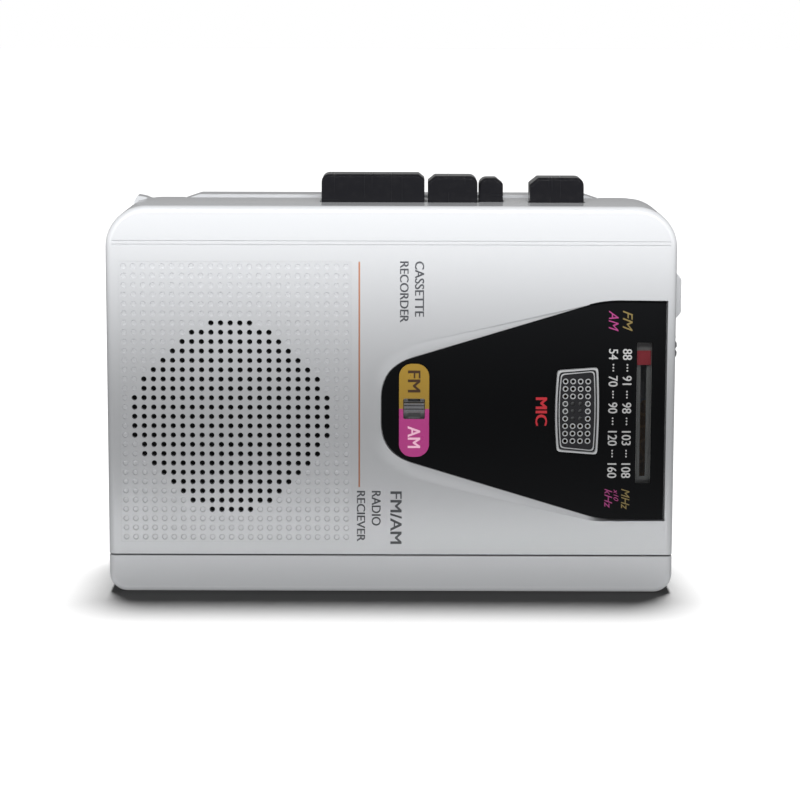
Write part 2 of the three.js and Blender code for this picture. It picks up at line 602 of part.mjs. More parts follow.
// ---------------------------------------------------------------- the cassette door
function addDoor() {
  const panelShape = rounded([-DOOR_X, DOOR_X], [HINGE_H, DOOR_TOP_Z], [0.3, 0.3, 5, 5]);
  const lipHalf = LIP_W / 2;
  const lipTop = REAR_TOP_Z + LIP_UP;
  const lipShape = outline([
    [-lipHalf, DOOR_TOP_Z - 1], [lipHalf, DOOR_TOP_Z - 1], [lipHalf, REAR_TOP_Z],
    [lipHalf - LIP_SLOPE, lipTop], [LIP_SLOPE - lipHalf, lipTop], [-lipHalf, REAR_TOP_Z],
  ]);
  let door = join(
    alongY(panelShape, [BACK_Y - DOOR_T, BACK_Y]),
    rod("x", HINGE_R, [-DOOR_X, DOOR_X], [HINGE_Y, HINGE_H], 20),
    alongY(lipShape, [BACK_Y - LIP_D, BACK_Y]),
  );
  const inner = CASSETTE_W / 2 + 0.4;
  const [near, far] = [PLATE_Y + PLATE_T + 1, BACK_Y - DOOR_T + 0.1];
  const low = HINGE_H - 3.7;
  const high = HINGE_H + 52;
  const railShape = outline([[near, low], [far - 2.6, low], [far, HINGE_H], [far, high], [near, high]]);
  for (const side of [-1, 1]) {
    const span = (from, to) => mirrored(side, [from, to]);
    door = join(
      door,
      alongX(railShape, span(inner, inner + 1.4)),
      block(span(inner - 3, inner + 0.5), [near, near + 1], [low + 8, low + 20]),
      block(span(inner - 5, inner + 0.5), [near, far - 2.6], [low, low + 0.9]),
    );
    door = cut(door, rod("x", HINGE_PIN_R + GAP, span(DOOR_X - 3.3, DOOR_X + 1), [HINGE_Y, HINGE_H]));
  }
  const paneZ = HUB_Z + 1;
  const paneY = BACK_Y - 0.8;
  const ledge = 2;
  const [w, h] = [DOOR_WINDOW_W / 2, DOOR_WINDOW_H / 2];
  const rabbet = block([-w, w], [BACK_Y - DOOR_T - 1, paneY], [paneZ - h, paneZ + h]);
  const holeZ = [paneZ - h + ledge, paneZ + h - ledge];
  const hole = block([ledge - w, w - ledge], [BACK_Y - DOOR_T - 1, BACK_Y + 1], holeZ);
  add("cassette_door", MATERIAL.silver, cut(door, rabbet, hole));
  const pane = block([GAP - w, w - GAP], [-0.9, -0.05], [GAP - h, h - GAP]);
  add("door_window", MATERIAL.clear, pane, [0, paneY, paneZ]);
}

// ---------------------------------------------------------------- the speaker face
/** The slot that the band switch's knob slides in. */
function bandSlot() {
  const x = [BAND_X - BAND_SLOT_W / 2, BAND_X + BAND_SLOT_W / 2];
  return block(x, THROUGH_FACE, [BAND_SLOT_Z - BAND_SLOT_H / 2, BAND_SLOT_Z + BAND_SLOT_H / 2]);
}

/** The sound holes of the microphone's grille. */
function micHoles() {
  const holes = [];
  for (const col of [-0.5, 0.5]) {
    for (const row of [-1, 0, 1]) {
      const at = [MIC_X + col * MIC_HOLE_PITCH, WINDOW_MID_H + row * MIC_HOLE_PITCH];
      holes.push(rod("y", 0.4, [FACE_Y - 1, INNER_FACE_Y], at, 6));
    }
  }
  return holes;
}

/** The black window, the clear strip over its dial, and the grey strip behind the pointer. */
function addDial() {
  const half = (POINTER_W + 0.2) / 2;
  const high = POINTER_Z + POINTER_H / 2 + DIAL_SLOT_SPARE;
  const low = POINTER_Z - POINTER_TRAVEL - POINTER_H / 2 - DIAL_SLOT_SPARE / 3;
  const slot = block([POINTER_X - half, POINTER_X + half], [FACE_Y - 1, INNER_FACE_Y], [low, high]);
  const lens = cut(alongY(windowOutline(), WINDOW_Y), bandSlot(), slot, ...micHoles());
  add("dial_window", MATERIAL.lens, lens);
  const paneX = half - SEAT;
  const pane = block([-paneX, paneX], [0, WINDOW_T - 0.3], [low + SEAT, high - SEAT]);
  add("dial_pane", MATERIAL.clear, pane, [POINTER_X, WINDOW_Y[0] + SEAT, 0]);
  const backing = cut(
    block([-half - 0.6, half + 0.6], [0, 0.4], [low - 0.6, high + 0.6]),
    block([-0.6, 0.6], [-1, 1], [POINTER_Z - POINTER_TRAVEL - 0.8, POINTER_Z + 0.8]),
  );
  add("dial_backing", MATERIAL.wheel, backing, [POINTER_X, DIAL_BACKING_Y, 0]);
}

/** The band switch: its two-colour plate, its knob and the switch behind. */
function addBandSwitch() {
  const [w, h] = [BAND_PLATE_W / 2, BAND_PLATE_H / 2];
  const corner = Array(4).fill(BAND_PLATE_CORNER);
  const plateShape = rounded([BAND_X - w, BAND_X + w], [WINDOW_MID_H - h, WINDOW_MID_H + h], corner);
  const plate = alongY(plateShape, [WINDOW_Y[0] - 0.3, WINDOW_Y[0] - 0.02], 4);
  add("band_plate", MATERIAL.gold, cut(plate, bandSlot()));
  const knobW = BAND_SLOT_W / 2 - 0.1;
  const knobH = BAND_KNOB_H / 2 - 0.05;
  const stem = block([-1, 1], [2.3, 3.6], [-0.9, 0.9]);
  const knob = join(block([-knobW, knobW], [0, 2.4], [-knobH, knobH]), stem);
  const knobZ = BAND_SLOT_Z + BAND_TRAVEL / 2 - 0.25;
  add("band_switch_knob", MATERIAL.chrome, knob, [BAND_X, FACE_Y + 0.1, knobZ]);
  const bodyY = FACE_Y + 2.9;
  const body = cut(
    block([-3.4, 3.4], [0, BOARD_Y[0] - 0.05 - bodyY], [-4.6, 4.6]),
    block([-1.3, 1.3], [-1, 1.4], [-2.4, 2.4]),
  );
  add("band_switch_body", MATERIAL.steel, body, [BAND_X, bodyY, BAND_SLOT_Z]);
}

/** The microphone bezel's outline, taken in by an inset: a right-hand side that bows out. */
function micOutline(inset) {
  const [w, h] = [MIC_W / 2 - inset, MIC_H / 2 - inset];
  const s = new THREE.Shape();
  s.moveTo(w - 0.3, -h);
  s.quadraticCurveTo(w + 0.3, 0, w - 0.3, h);
  s.lineTo(0.7 - w, h - 1);
  s.quadraticCurveTo(-w - 0.3, 0, 0.7 - w, 1 - h);
  s.closePath();
  return s;
}

function addMicrophone() {
  const holes = micHoles().map((hole) => hole.translate([-MIC_X, 0.9 - WINDOW_Y[0], -WINDOW_MID_H]));
  const bezel = cut(alongY(micOutline(0), [0, 0.85], 5), alongY(micOutline(0.9), [-1, 0.45], 5), ...holes);
  add("mic_grille", MATERIAL.chrome, bezel, [MIC_X, WINDOW_Y[0] - 0.88, WINDOW_MID_H]);
  add("mic_capsule", MATERIAL.steel, rod("y", 2.9, [0, 1.6]), [MIC_X, WINDOW_Y[1] + SEAT, WINDOW_MID_H]);
}

/** The rack's outline, its pitch line at X = 0 and a gap between teeth level with the wheel's axis. */
function rackOutline([low, high], back) {
  const pitch = Math.PI * GEAR_MODULE;
  const tan = Math.tan(PRESSURE);
  const halfRoot = pitch / 4 + DEDENDUM * tan - BACKLASH / 4;
  const halfTip = pitch / 4 - ADDENDUM * tan - BACKLASH / 4;
  const firstTooth = (Math.ceil(low / pitch - 0.5) + 0.5) * pitch;
  const points = [[back, high], [back, low], [-DEDENDUM, low]];
  for (let z = firstTooth; z < high - pitch / 2; z += pitch) {
    points.push([-DEDENDUM, z - halfRoot], [ADDENDUM, z - halfTip]);
    points.push([ADDENDUM, z + halfTip], [-DEDENDUM, z + halfRoot]);
  }
  points.push([-DEDENDUM, high]);
  return outline(points);
}

/** The rack and the arm that carries the pointer past the window's edge. */
function addPointerRack(rackY, armY) {
  const back = -DEDENDUM - 1.6;
  const armZ = POINTER_Z - TUNING_Z;
  const reach = [back, POINTER_X - RACK_X];
  const rack = join(
    alongY(rackOutline([-3, POINTER_TRAVEL + 3], back), rackY),
    block(reach, armY, [armZ - 1.2, armZ + 1.2]),
    block([back, -DEDENDUM], [armY[1] - 0.1, rackY[0] + 0.1], [armZ - 1.2, armZ + 1.2]),
  );
  add("pointer_rack", MATERIAL.nylon, rack, [RACK_X, TUNING_Y, TUNING_Z]);
}

function addTuning() {
  const wheel = join(
    alongY(knurledOutline(TUNING_R, 40, KNURL), [0, WHEEL_T]),
    alongY(gearOutline(PINION_TEETH, Math.PI), [-2.2, 0.2]),
  );
  const shaftHole = rod("y", SHAFT_HOLE_R, [-3, WHEEL_T + 1], [0, 0], 12);
  add("tuning_wheel", MATERIAL.wheel, cut(wheel, shaftHole), [TUNING_X, TUNING_Y, TUNING_Z]);
  const rackY = [-2.1, -0.4];
  const armY = [rackY[0] - 1.9, rackY[0] - 0.3];
  addPointerRack(rackY, armY);
  const bladeY = WINDOW_Y[1] + 0.2;
  const pointer = join(
    block([-POINTER_W / 2, POINTER_W / 2], [0, 0.4], [-POINTER_H / 2, POINTER_H / 2]),
    block([-0.35, 0.35], [0.3, TUNING_Y + armY[0] - SEAT - bladeY], [-0.5, 0.5]),
  );
  add("dial_pointer", MATERIAL.red, pointer, [POINTER_X, bladeY, POINTER_Z]);
  const shaft = rod("y", SHAFT_R, [TUNING_Y - 2 - BOARD_Y[1], 0.1], [0, 0], 12);
  const can = join(block([-7.5, 7.5], [0, 6], [-7.5, 7.5]), shaft);
  add("tuning_capacitor", MATERIAL.nylon, can, [TUNING_X, BOARD_Y[1] + 0.1, TUNING_Z]);
}

function addSideControls() {
  const disc = alongY(knurledOutline(VOLUME_R, 36, KNURL), [0, WHEEL_T]);
  const wheel = cut(disc, rod("y", SHAFT_HOLE_R, [-1, WHEEL_T + 1], [0, 0], 12));
  add("volume_wheel", MATERIAL.wheel, wheel, [VOLUME_X, VOLUME_Y, VOLUME_Z]);
  const canY = VOLUME_Y - BOARD_Y[1] - 0.5;
  const shaft = rod("y", SHAFT_R, [canY - 0.1, canY + WHEEL_T + 0.5], [0, 0], 12);
  const pot = join(rod("y", 6, [0, canY]), shaft);
  add("volume_potentiometer", MATERIAL.steel, pot, [VOLUME_X, BOARD_Y[1] + 0.1, VOLUME_Z]);
  const half = FUNCTION_L / 2;
  const capShape = outline([
    [SEAT, -half], [FUNCTION_PROUD - 1, -half], [FUNCTION_PROUD, 1.2 - half],
    [FUNCTION_PROUD, half - 1.2], [FUNCTION_PROUD - 1, half], [SEAT, half],
  ]);
  const cap = alongY(capShape, [FUNCTION_Y[0] - 1, FUNCTION_Y[1] + 1]);
  const stem = block([-3.2, 0.2], [FUNCTION_Y[0] + GAP, FUNCTION_Y[1] - GAP], [-1.6, 1.6]);
  add("function_switch_knob", MATERIAL.silver, join(cap, stem), [SIDE_X, 0, FUNCTION_Z]);
  for (const jack of JACKS) {
    const barrel = cut(rod("x", jack.r, [0.1, JACK_L]), rod("x", jack.bore, [-1, JACK_L - 1.5]));
    add(jack.name, MATERIAL.black, barrel, [-SIDE_X, JACK_Y, jack.z]);
  }
}

// ---------------------------------------------------------------- keys and their springs
function addKeys() {
  const bottom = TOP_INNER_Z - 1.7;
  const postY = KEY_Y + 2.1;
  const shelfZ = bottom - KEY_SPRING_L - 0.5;
  const shelfX = [KEYS[0].x + 2, KEYS[3].x + KEYS[3].w - 1.5];
  const shelfY = [postY - 1.6, postY + 1.6];
  const legs = [[shelfX[0], shelfX[0] + 1.2], [shelfX[1] - 1.2, shelfX[1]]];
  let bracket = block(shelfX, shelfY, [shelfZ - 1, shelfZ]);
  for (const x of legs) bracket = join(bracket, block(x, [shelfY[0], PLATE_Y - SEAT], [shelfZ - 3, shelfZ]));
  for (const key of KEYS) {
    const depth = KEY_D - key.back;
    const top = CASE_H + key.up - bottom;
    const side = outline([
      [0, 0], [key.w, 0], [key.w, top - 1.6], [key.w - 1.5, top], [1.5, top], [0, top - 1.6],
    ]);
    const frontEdge = alongX(outline([[-1, top - 1.2], [1.2, top + 1], [-1, top + 1]]), [-1, key.w + 1]);
    const flange = block([0, key.w], [-KEY_FLANGE, depth + KEY_FLANGE], [0, 1.1]);
    const post = rod("z", 0.7, [-KEY_SPRING_L - 3, 0.5], [key.w / 2, postY - KEY_Y - key.back], 10);
    const cap = join(cut(alongY(side, [0, depth]), frontEdge), flange, post);
    add(`${key.name}_key`, MATERIAL.black, cap, [key.x, KEY_Y + key.back, bottom]);
    const x = key.x + key.w / 2;
    const spring = coil(1.25, 0.22, KEY_SPRING_L - 0.5, 5);
    add(`${key.name}_key_spring`, MATERIAL.spring, spring, [x, postY, shelfZ + 0.5]);
    bracket = cut(bracket, rod("z", 0.9, [shelfZ - 2, shelfZ + 1], [x, postY], 10));
  }
  add("spring_bracket", MATERIAL.steel, bracket);
}

// ---------------------------------------------------------------- the tape mechanism
/** The notches in the chassis plate's sides, round the front case's screw posts. */
function screwNotches(plateX) {
  const notches = [];
  const half = SCREW_BOSS + 1;
  eachScrew((side, z) => {
    const x = [side * plateX - 2.4, side * plateX + 2.4];
    notches.push(block(x, [-1, 2], [z - half, z + half]));
  });
  return notches;
}

/** A reel spindle: a round shoulder and six fins with a tapered nose, on a shaft through the chassis. */
function spindle() {
  const fins = [];
  for (let i = 0; i < 6; i++) {
    const a = (Math.PI * i) / 3;
    fins.push([a - 0.42, 2.4], [a - 0.14, 3.7], [a + 0.14, 3.7], [a + 0.42, 2.4]);
  }
  const nose = turned([[0, -1], [4.4, -1], [4.4, 7.2], [1.6, 9.6], [0, 9.6]], 18);
  const shoulder = rod("y", 5.4, [-1.3, 0.1], [0, 0], 20);
  const shaft = rod("y", 1.5, [-5, -1.2], [0, 0], 12);
  return join(alongY(polar(fins), [0, 9.4]).intersect(nose), shoulder, shaft);
}

/** The steel plate that the tape mechanism is built on. */
function addChassis() {
  const plateX = SIDE_X - WALL - 1.4;
  const plateShape = rounded([-plateX, plateX], [3.4, CASE_H - 4.6], [1, 1, 6, 6]);
  const plate = cut(
    alongY(plateShape, [0, PLATE_T]),
    rod("y", REEL_HOLE_R, [-1, 2], [-TAKE_UP_X, HUB_Z]),
    rod("y", REEL_HOLE_R, [-1, 2], [TAKE_UP_X, HUB_Z]),
    rod("y", BEARING_R + 0.1, [-1, 2], [CAPSTAN_X, CAPSTAN_Z]),
    block([-4, 4], [-1, 2], [CAPSTAN_Z + 6, CAPSTAN_Z + 13]),
    ...screwNotches(plateX),
  );
  add("chassis_plate", MATERIAL.steel, plate, [0, PLATE_Y, 0]);
}

/** A gear of the drive, its hole ready for the shaft, tooth or gap towards the gear before it. */
function driveGear(teeth, phase, holeR) {
  const hole = rod("y", holeR, [GEAR_Y[0] - 1, GEAR_Y[1] + 1], [0, 0], 12);
  return cut(alongY(gearOutline(teeth, phase), GEAR_Y), hole);
}

/** The capstan in its bearing, with the flywheel and the drive's first gear on it. */
function addCapstan() {
  const hole = CAPSTAN_R + 0.1;
  const bush = cut(rod("y", BEARING_R, [-0.3, 2.4]), rod("y", hole, [-1, 3], [0, 0], 12));
  add("capstan_bearing", MATERIAL.brass, bush, [CAPSTAN_X, PLATE_Y, CAPSTAN_Z]);
  const shaft = rod("y", CAPSTAN_R, [FLYWHEEL_Y[0] - 0.6, TAPE_Y + 4.6], [0, 0], 12);
  add("capstan", MATERIAL.steel, shaft, [CAPSTAN_X, 0, CAPSTAN_Z]);
  const [y0, y1] = FLYWHEEL_Y;
  const rim = FLYWHEEL_R;
  const floor = FLYWHEEL_R - 0.9;
  const gearY = GEAR_Y[0] + 0.1;
  const wheel = turned([
    [hole, y0], [rim, y0], [rim, y0 + 0.8], [floor, y0 + 1.2], [floor, y0 + 2.2], [rim, y0 + 2.6], [rim, y1],
    [3.2, y1], [3.2, gearY], [hole, gearY], [hole, y0],
  ], 32);
  const gear = driveGear(CAPSTAN_TEETH, LINE_ANGLE, hole);
  add("flywheel", MATERIAL.brass, join(wheel, gear), [CAPSTAN_X, 0, CAPSTAN_Z]);
}

/** The gears from the capstan to the take-up reel, and the two reels. */
function addReels() {
  const towards = LINE_ANGLE + Math.PI;
  const idler = driveGear(IDLER_TEETH, towards + Math.PI / IDLER_TEETH, 1.2);
  add("idler_gear", MATERIAL.nylon, idler, [IDLER_X, 0, IDLER_Z]);
  const reel = driveGear(REEL_TEETH, towards + Math.PI / REEL_TEETH, 1.6);
  add("take_up_gear", MATERIAL.nylon, reel, [TAKE_UP_X, 0, HUB_Z]);
  const spindleY = PLATE_Y + PLATE_T + 1.7;
  add("take_up_spindle", MATERIAL.nylon, spindle(), [TAKE_UP_X, spindleY, HUB_Z]);
  add("supply_spindle", MATERIAL.nylon, spindle(), [-TAKE_UP_X, spindleY, HUB_Z]);
}

/** The carriage that lifts the heads to the tape, with the two heads on it. */
function addHeads() {
  const restZ = CASE_H - CASSETTE_TOP_GAP + 0.8; // the heads' faces, just outside the cassette
  const topZ = TOP_INNER_Z - 2;
  const baseY = [HEAD_BASE_Y, HEAD_BASE_Y + 0.8];
  const headTop = topZ - restZ;
  const tongueZ = [CAPSTAN_Z + 11, CAPSTAN_Z + 12.6];
  const tongue = block([-3, 3], [PLATE_Y - 1, baseY[1]], tongueZ);
  const base = cut(
    join(block([-18, CAPSTAN_X + 8], baseY, [restZ - 3, topZ]), tongue),
    block([CAPSTAN_X - 4, CAPSTAN_X + 4], [baseY[0] - 1, baseY[1] + 1], [restZ - 4, restZ + 0.5]),
  );
  add("head_base", MATERIAL.steel, base);
  const headShape = outline([[-6, 0.8], [-3.5, 0], [3.5, 0], [6, 0.8], [6, headTop], [-6, headTop]]);
  const head = alongY(headShape, [baseY[1] + 0.05, TAPE_Y + 4.2]);
  add("play_record_head", MATERIAL.chrome, head, [0, 0, restZ]);
  const eraseShape = outline([[-2.6, 0.6], [-1.4, 0], [1.4, 0], [2.6, 0.6], [2.6, 7.4], [-2.6, 7.4]]);
  const erase = alongY(eraseShape, [baseY[1] + 0.05, TAPE_Y + 3.4]);
  add("erase_head", MATERIAL.black, erase, [-13, 0, restZ]);
}

/** The pinch roller and its arm, which ride on the head carriage. */
function addPinchRoller() {
  const z = CAPSTAN_Z + CAPSTAN_R + PINCH_R + 0.1 + KEY_TRAVEL;
  const half = 3.6;
  const low = HEAD_BASE_Y + 0.85;
  const high = TAPE_Y + half + 1.2;
  const armZ = [z - 1.6, z + 1.6];
  const roller = cut(rod("y", PINCH_R, [-half, half], [0, 0], 24), rod("y", 0.9, [-4, 4], [0, 0], 12));
  add("pinch_roller", MATERIAL.rubber, roller, [CAPSTAN_X, TAPE_Y, z]);
  const arm = join(
    rod("y", 0.7, [low, high], [CAPSTAN_X, z], 12),
    block([CAPSTAN_X - 1.6, CAPSTAN_X + 7.4], [high - 0.8, high], armZ),
    block([CAPSTAN_X + 6.2, CAPSTAN_X + 7.4], [low, high], armZ),
  );
  add("pinch_roller_arm", MATERIAL.steel, arm);
}

function addMotor() {
  const canY = [INNER_FACE_Y + 0.2, FLYWHEEL_Y[0] - 0.6];
  const can = join(rod("y", MOTOR_R, canY, [0, 0], 28), rod("y", 3, [canY[1] - 0.1, canY[1] + 0.4]));
  add("motor", MATERIAL.steel, can, [MOTOR_X, 0, MOTOR_Z]);
  const y0 = canY[1] + 0.6;
  const [b0, b1] = [FLYWHEEL_Y[0] + 1.2, FLYWHEEL_Y[0] + 2.2];
  const floor = PULLEY_R - 0.7;
  const pulley = turned([
    [0, y0], [PULLEY_R, y0], [PULLEY_R, b0 - 0.2], [floor, b0], [floor, b1], [PULLEY_R, b1 + 0.2],
    [PULLEY_R, b1 + 0.7], [0, b1 + 0.7],
  ], 20);
  add("motor_pulley", MATERIAL.brass, pulley, [MOTOR_X, 0, MOTOR_Z]);
  const small = [MOTOR_X, MOTOR_Z, PULLEY_R - 0.4];
  const large = [CAPSTAN_X, CAPSTAN_Z, FLYWHEEL_R - 0.6];
  add("drive_belt", MATERIAL.rubber, belt(small, large, BELT_T, [b0 + 0.1, b1 - 0.1]));
}

/** A flat belt round two pulleys, each [x, z, radius]: its outer loop less its inner one. */
function belt([x0, z0, r0], [x1, z1, r1], thickness, y) {
  const loop = (grow) => {
    const [a, b] = [r0 + grow, r1 + grow];
    const along = Math.atan2(z1 - z0, x1 - x0);
    const lean = Math.acos((a - b) / Math.hypot(x1 - x0, z1 - z0));
    const points = [];
    const arc = (x, z, r, from, to, steps) => {
      for (let i = 0; i <= steps; i++) {
        const t = from + ((to - from) * i) / steps;
        points.push([x + r * Math.cos(t), z + r * Math.sin(t)]);
      }
    };
    arc(x1, z1, b, along - lean, along + lean, 20);
    arc(x0, z0, a, along + lean, along + 2 * Math.PI - lean, 8);
    return outline(points);
  };
  return cut(alongY(loop(thickness), y), alongY(loop(0), [y[0] - 1, y[1] + 1]));
}

// ---------------------------------------------------------------- speaker, board, aerial and contacts
function addSpeaker() {
  const y0 = INNER_FACE_Y + 0.55;
  const y1 = y0 + SPEAKER_DEPTH;
  const r = SPEAKER_R;
  const frame = turned([
    [r - 1.6, y0], [r, y0], [r, y0 + 1], [r - 4, y0 + 1.4], [9.6, y0 + 4], [9.6, y1], [0, y1], [0, y0 + 4.6],
    [8.4, y0 + 4.6], [8.4, y0 + 3.4], [r - 3, y0 + 0.8], [r - 1.6, y0 + 0.8], [r - 1.6, y0],
  ], 28);
  add("speaker_frame", MATERIAL.magnet, frame, [SPEAKER_X, 0, SPEAKER_Z]);
  const cone = turned([
    [0, y0 + 1.6], [3.6, y0 + 2.2], [4, y0 + 2.8], [r - 3.4, y0 + 0.1], [r - 1.9, y0 + 0.1],
    [r - 1.9, y0 + 0.5], [r - 3.4, y0 + 0.5], [4, y0 + 3.2], [0, y0 + 2.6],
  ], 28);
  add("speaker_cone", MATERIAL.cone, cone, [SPEAKER_X, 0, SPEAKER_Z]);
}

function addElectronics() {
  const low = BAY_TOP_Z + BAY_WALL + 0.8;
  const high = CASE_H * 0.76;
  const left = SPEAKER_X + SPEAKER_R + 4.2;
  const board = cut(
    block([left, SIDE_X - WALL - 0.8], BOARD_Y, [low, high]),
    rod("y", 1.7, [BOARD_Y[0] - 1, BOARD_Y[1] + 1], [TUNING_X, TUNING_Z], 12),
    block([SIDE_X - 4.2, SIDE_X], [BOARD_Y[0] - 1, BOARD_Y[1] + 1], [FUNCTION_Z - 8, FUNCTION_Z + 6]),
  );
  add("main_board", MATERIAL.board, board);
  const aerialZ = TOP_INNER_Z - 4.6;
  const aerialY = INNER_FACE_Y + 4.2;
  add("ferrite_rod", MATERIAL.ferrite, rod("x", 2.5, [-32, 30], [0, 0], 14), [0, aerialY, aerialZ]);
  const windings = cut(rod("x", 3.6, [-9, 9], [0, 0], 18), rod("x", 2.7, [-10, 10], [0, 0], 14));
  add("antenna_coil", MATERIAL.copper, windings, [4, aerialY, aerialZ]);
  const cellZ = COVER_FLOOR + GAP + CELL_D / 2;
  const cellY = BAY_Y[0] + CELL_D / 2 + 0.2;
  const spring = join(
    coil(3.4, 0.35, BAY_SPRING_L - 1, 3).rotate([0, 90, 0]).translate([0.8, 0, 0]),
    block([0.15, 0.55], [-5, 5], [-5, 5]),
    block([0.3, 1.2], [2.6, 4.2], [-0.5, 0.9]),
  );
  add("battery_spring", MATERIAL.spring, spring, [-BAY_X, cellY, cellZ]);
  const contact = join(block([-0.55, -0.15], [-5, 5], [-5, 5]), rod("x", 2.6, [-0.9, -0.5]));
  add("battery_contact", MATERIAL.spring, contact, [BAY_X, cellY, cellZ]);
}

addFrontCase();
addBatteryCover();
addBackCase();
addHingePins();
addCaseScrews();
addDoor();
addDial();
addBandSwitch();
addMicrophone();
addTuning();
addSideControls();
addKeys();
addChassis();
addCapstan();
addReels();
addHeads();
addPinchRoller();
addMotor();
addSpeaker();
addElectronics();

export default part;
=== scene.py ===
"""The looks of a portable cassette recorder with an FM/AM radio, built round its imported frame.

Lengths in the classes are millimetres in the row's frame: +X right, +Y from the speaker face to the
cassette door, +Z up, the origin in the middle of the base. Pieces reach Blender in metres.
"""

from __future__ import annotations

import json
import logging
import math
from dataclasses import dataclass, field
from enum import Enum
from typing import Callable, Sequence

import bmesh
import bpy
from mathutils import Euler, Matrix, Vector


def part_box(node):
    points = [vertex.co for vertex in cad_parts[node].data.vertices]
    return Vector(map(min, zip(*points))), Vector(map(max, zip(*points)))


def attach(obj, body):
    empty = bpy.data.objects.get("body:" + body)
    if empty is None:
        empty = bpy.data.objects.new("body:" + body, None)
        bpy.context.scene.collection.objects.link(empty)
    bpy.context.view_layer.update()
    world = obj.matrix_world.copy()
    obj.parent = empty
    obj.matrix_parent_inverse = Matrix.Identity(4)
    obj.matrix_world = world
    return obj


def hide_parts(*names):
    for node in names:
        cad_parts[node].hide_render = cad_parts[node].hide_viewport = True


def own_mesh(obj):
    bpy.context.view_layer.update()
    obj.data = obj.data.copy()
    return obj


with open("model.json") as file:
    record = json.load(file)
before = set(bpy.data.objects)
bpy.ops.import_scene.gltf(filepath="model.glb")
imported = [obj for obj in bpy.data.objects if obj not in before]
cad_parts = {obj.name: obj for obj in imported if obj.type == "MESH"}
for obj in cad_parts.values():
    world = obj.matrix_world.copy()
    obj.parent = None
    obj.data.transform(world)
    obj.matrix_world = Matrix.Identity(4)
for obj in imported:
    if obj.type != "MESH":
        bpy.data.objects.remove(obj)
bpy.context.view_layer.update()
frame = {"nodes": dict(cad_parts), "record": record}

LOG = logging.getLogger("cassette_recorder")
MM = 0.001
CASE = "case"

Point = tuple[float, float]
Span = tuple[float, float]
Colour = tuple[float, float, float]


def node_box(node: str) -> tuple[Vector, Vector]:
    """Return a CAD node's lowest and highest corner in millimetres.

    Args:
        node: The CAD node's name.

    Returns:
        Its two corners.
    """
    low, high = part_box(node)
    return low / MM, high / MM


class Axis(Enum):
    """The three directions of the row's frame."""

    X = 0
    Y = 1
    Z = 2


# ---------------------------------------------------------------- outlines


def arc(centre: Point, radius: float, start: float, end: float, steps: int = 8) -> list[Point]:
    """Return points along an arc.

    Args:
        centre: Its middle.
        radius: Its radius.
        start: The first angle, in degrees.
        end: The last angle, in degrees.
        steps: How many chords it has.

    Returns:
        The points, both ends included.
    """
    angles = [math.radians(start + (end - start) * i / steps) for i in range(steps + 1)]
    return [(centre[0] + radius * math.cos(a), centre[1] + radius * math.sin(a)) for a in angles]


def rounded_box(x: Span, z: Span, radii: Sequence[float], steps: int = 8) -> list[Point]:
    """Return a rectangle's outline with a radius at each corner.

    Args:
        x: Its left and right.
        z: Its bottom and top.
        radii: Radii at the low left, low right, high right and high left corner.
        steps: Chords in each corner.

    Returns:
        The outline, anticlockwise.
    """
    low_left, low_right, high_right, high_left = radii
    return [
        *arc((x[1] - low_right, z[0] + low_right), low_right, -90, 0, steps),
        *arc((x[1] - high_right, z[1] - high_right), high_right, 0, 90, steps),
        *arc((x[0] + high_left, z[1] - high_left), high_left, 90, 180, steps),
        *arc((x[0] + low_left, z[0] + low_left), low_left, 180, 270, steps),
    ]


def bend(start: Point, corner: Point, end: Point, steps: int = 8) -> list[Point]:
    """Return points along a quadratic curve that turns a corner.

    Args:
        start: Where it leaves the first side.
        corner: The sharp corner it replaces.
        end: Where it joins the second side.
        steps: How many chords it has.

    Returns:
        The points, both ends included.
    """
    points = []
    for i in range(steps + 1):
        t = i / steps
        weights = ((1 - t) ** 2, 2 * t * (1 - t), t * t)
        points.append(tuple(sum(w * p[k] for w, p in zip(weights, (start, corner, end))) for k in (0, 1)))
    return points


# ---------------------------------------------------------------- shaping


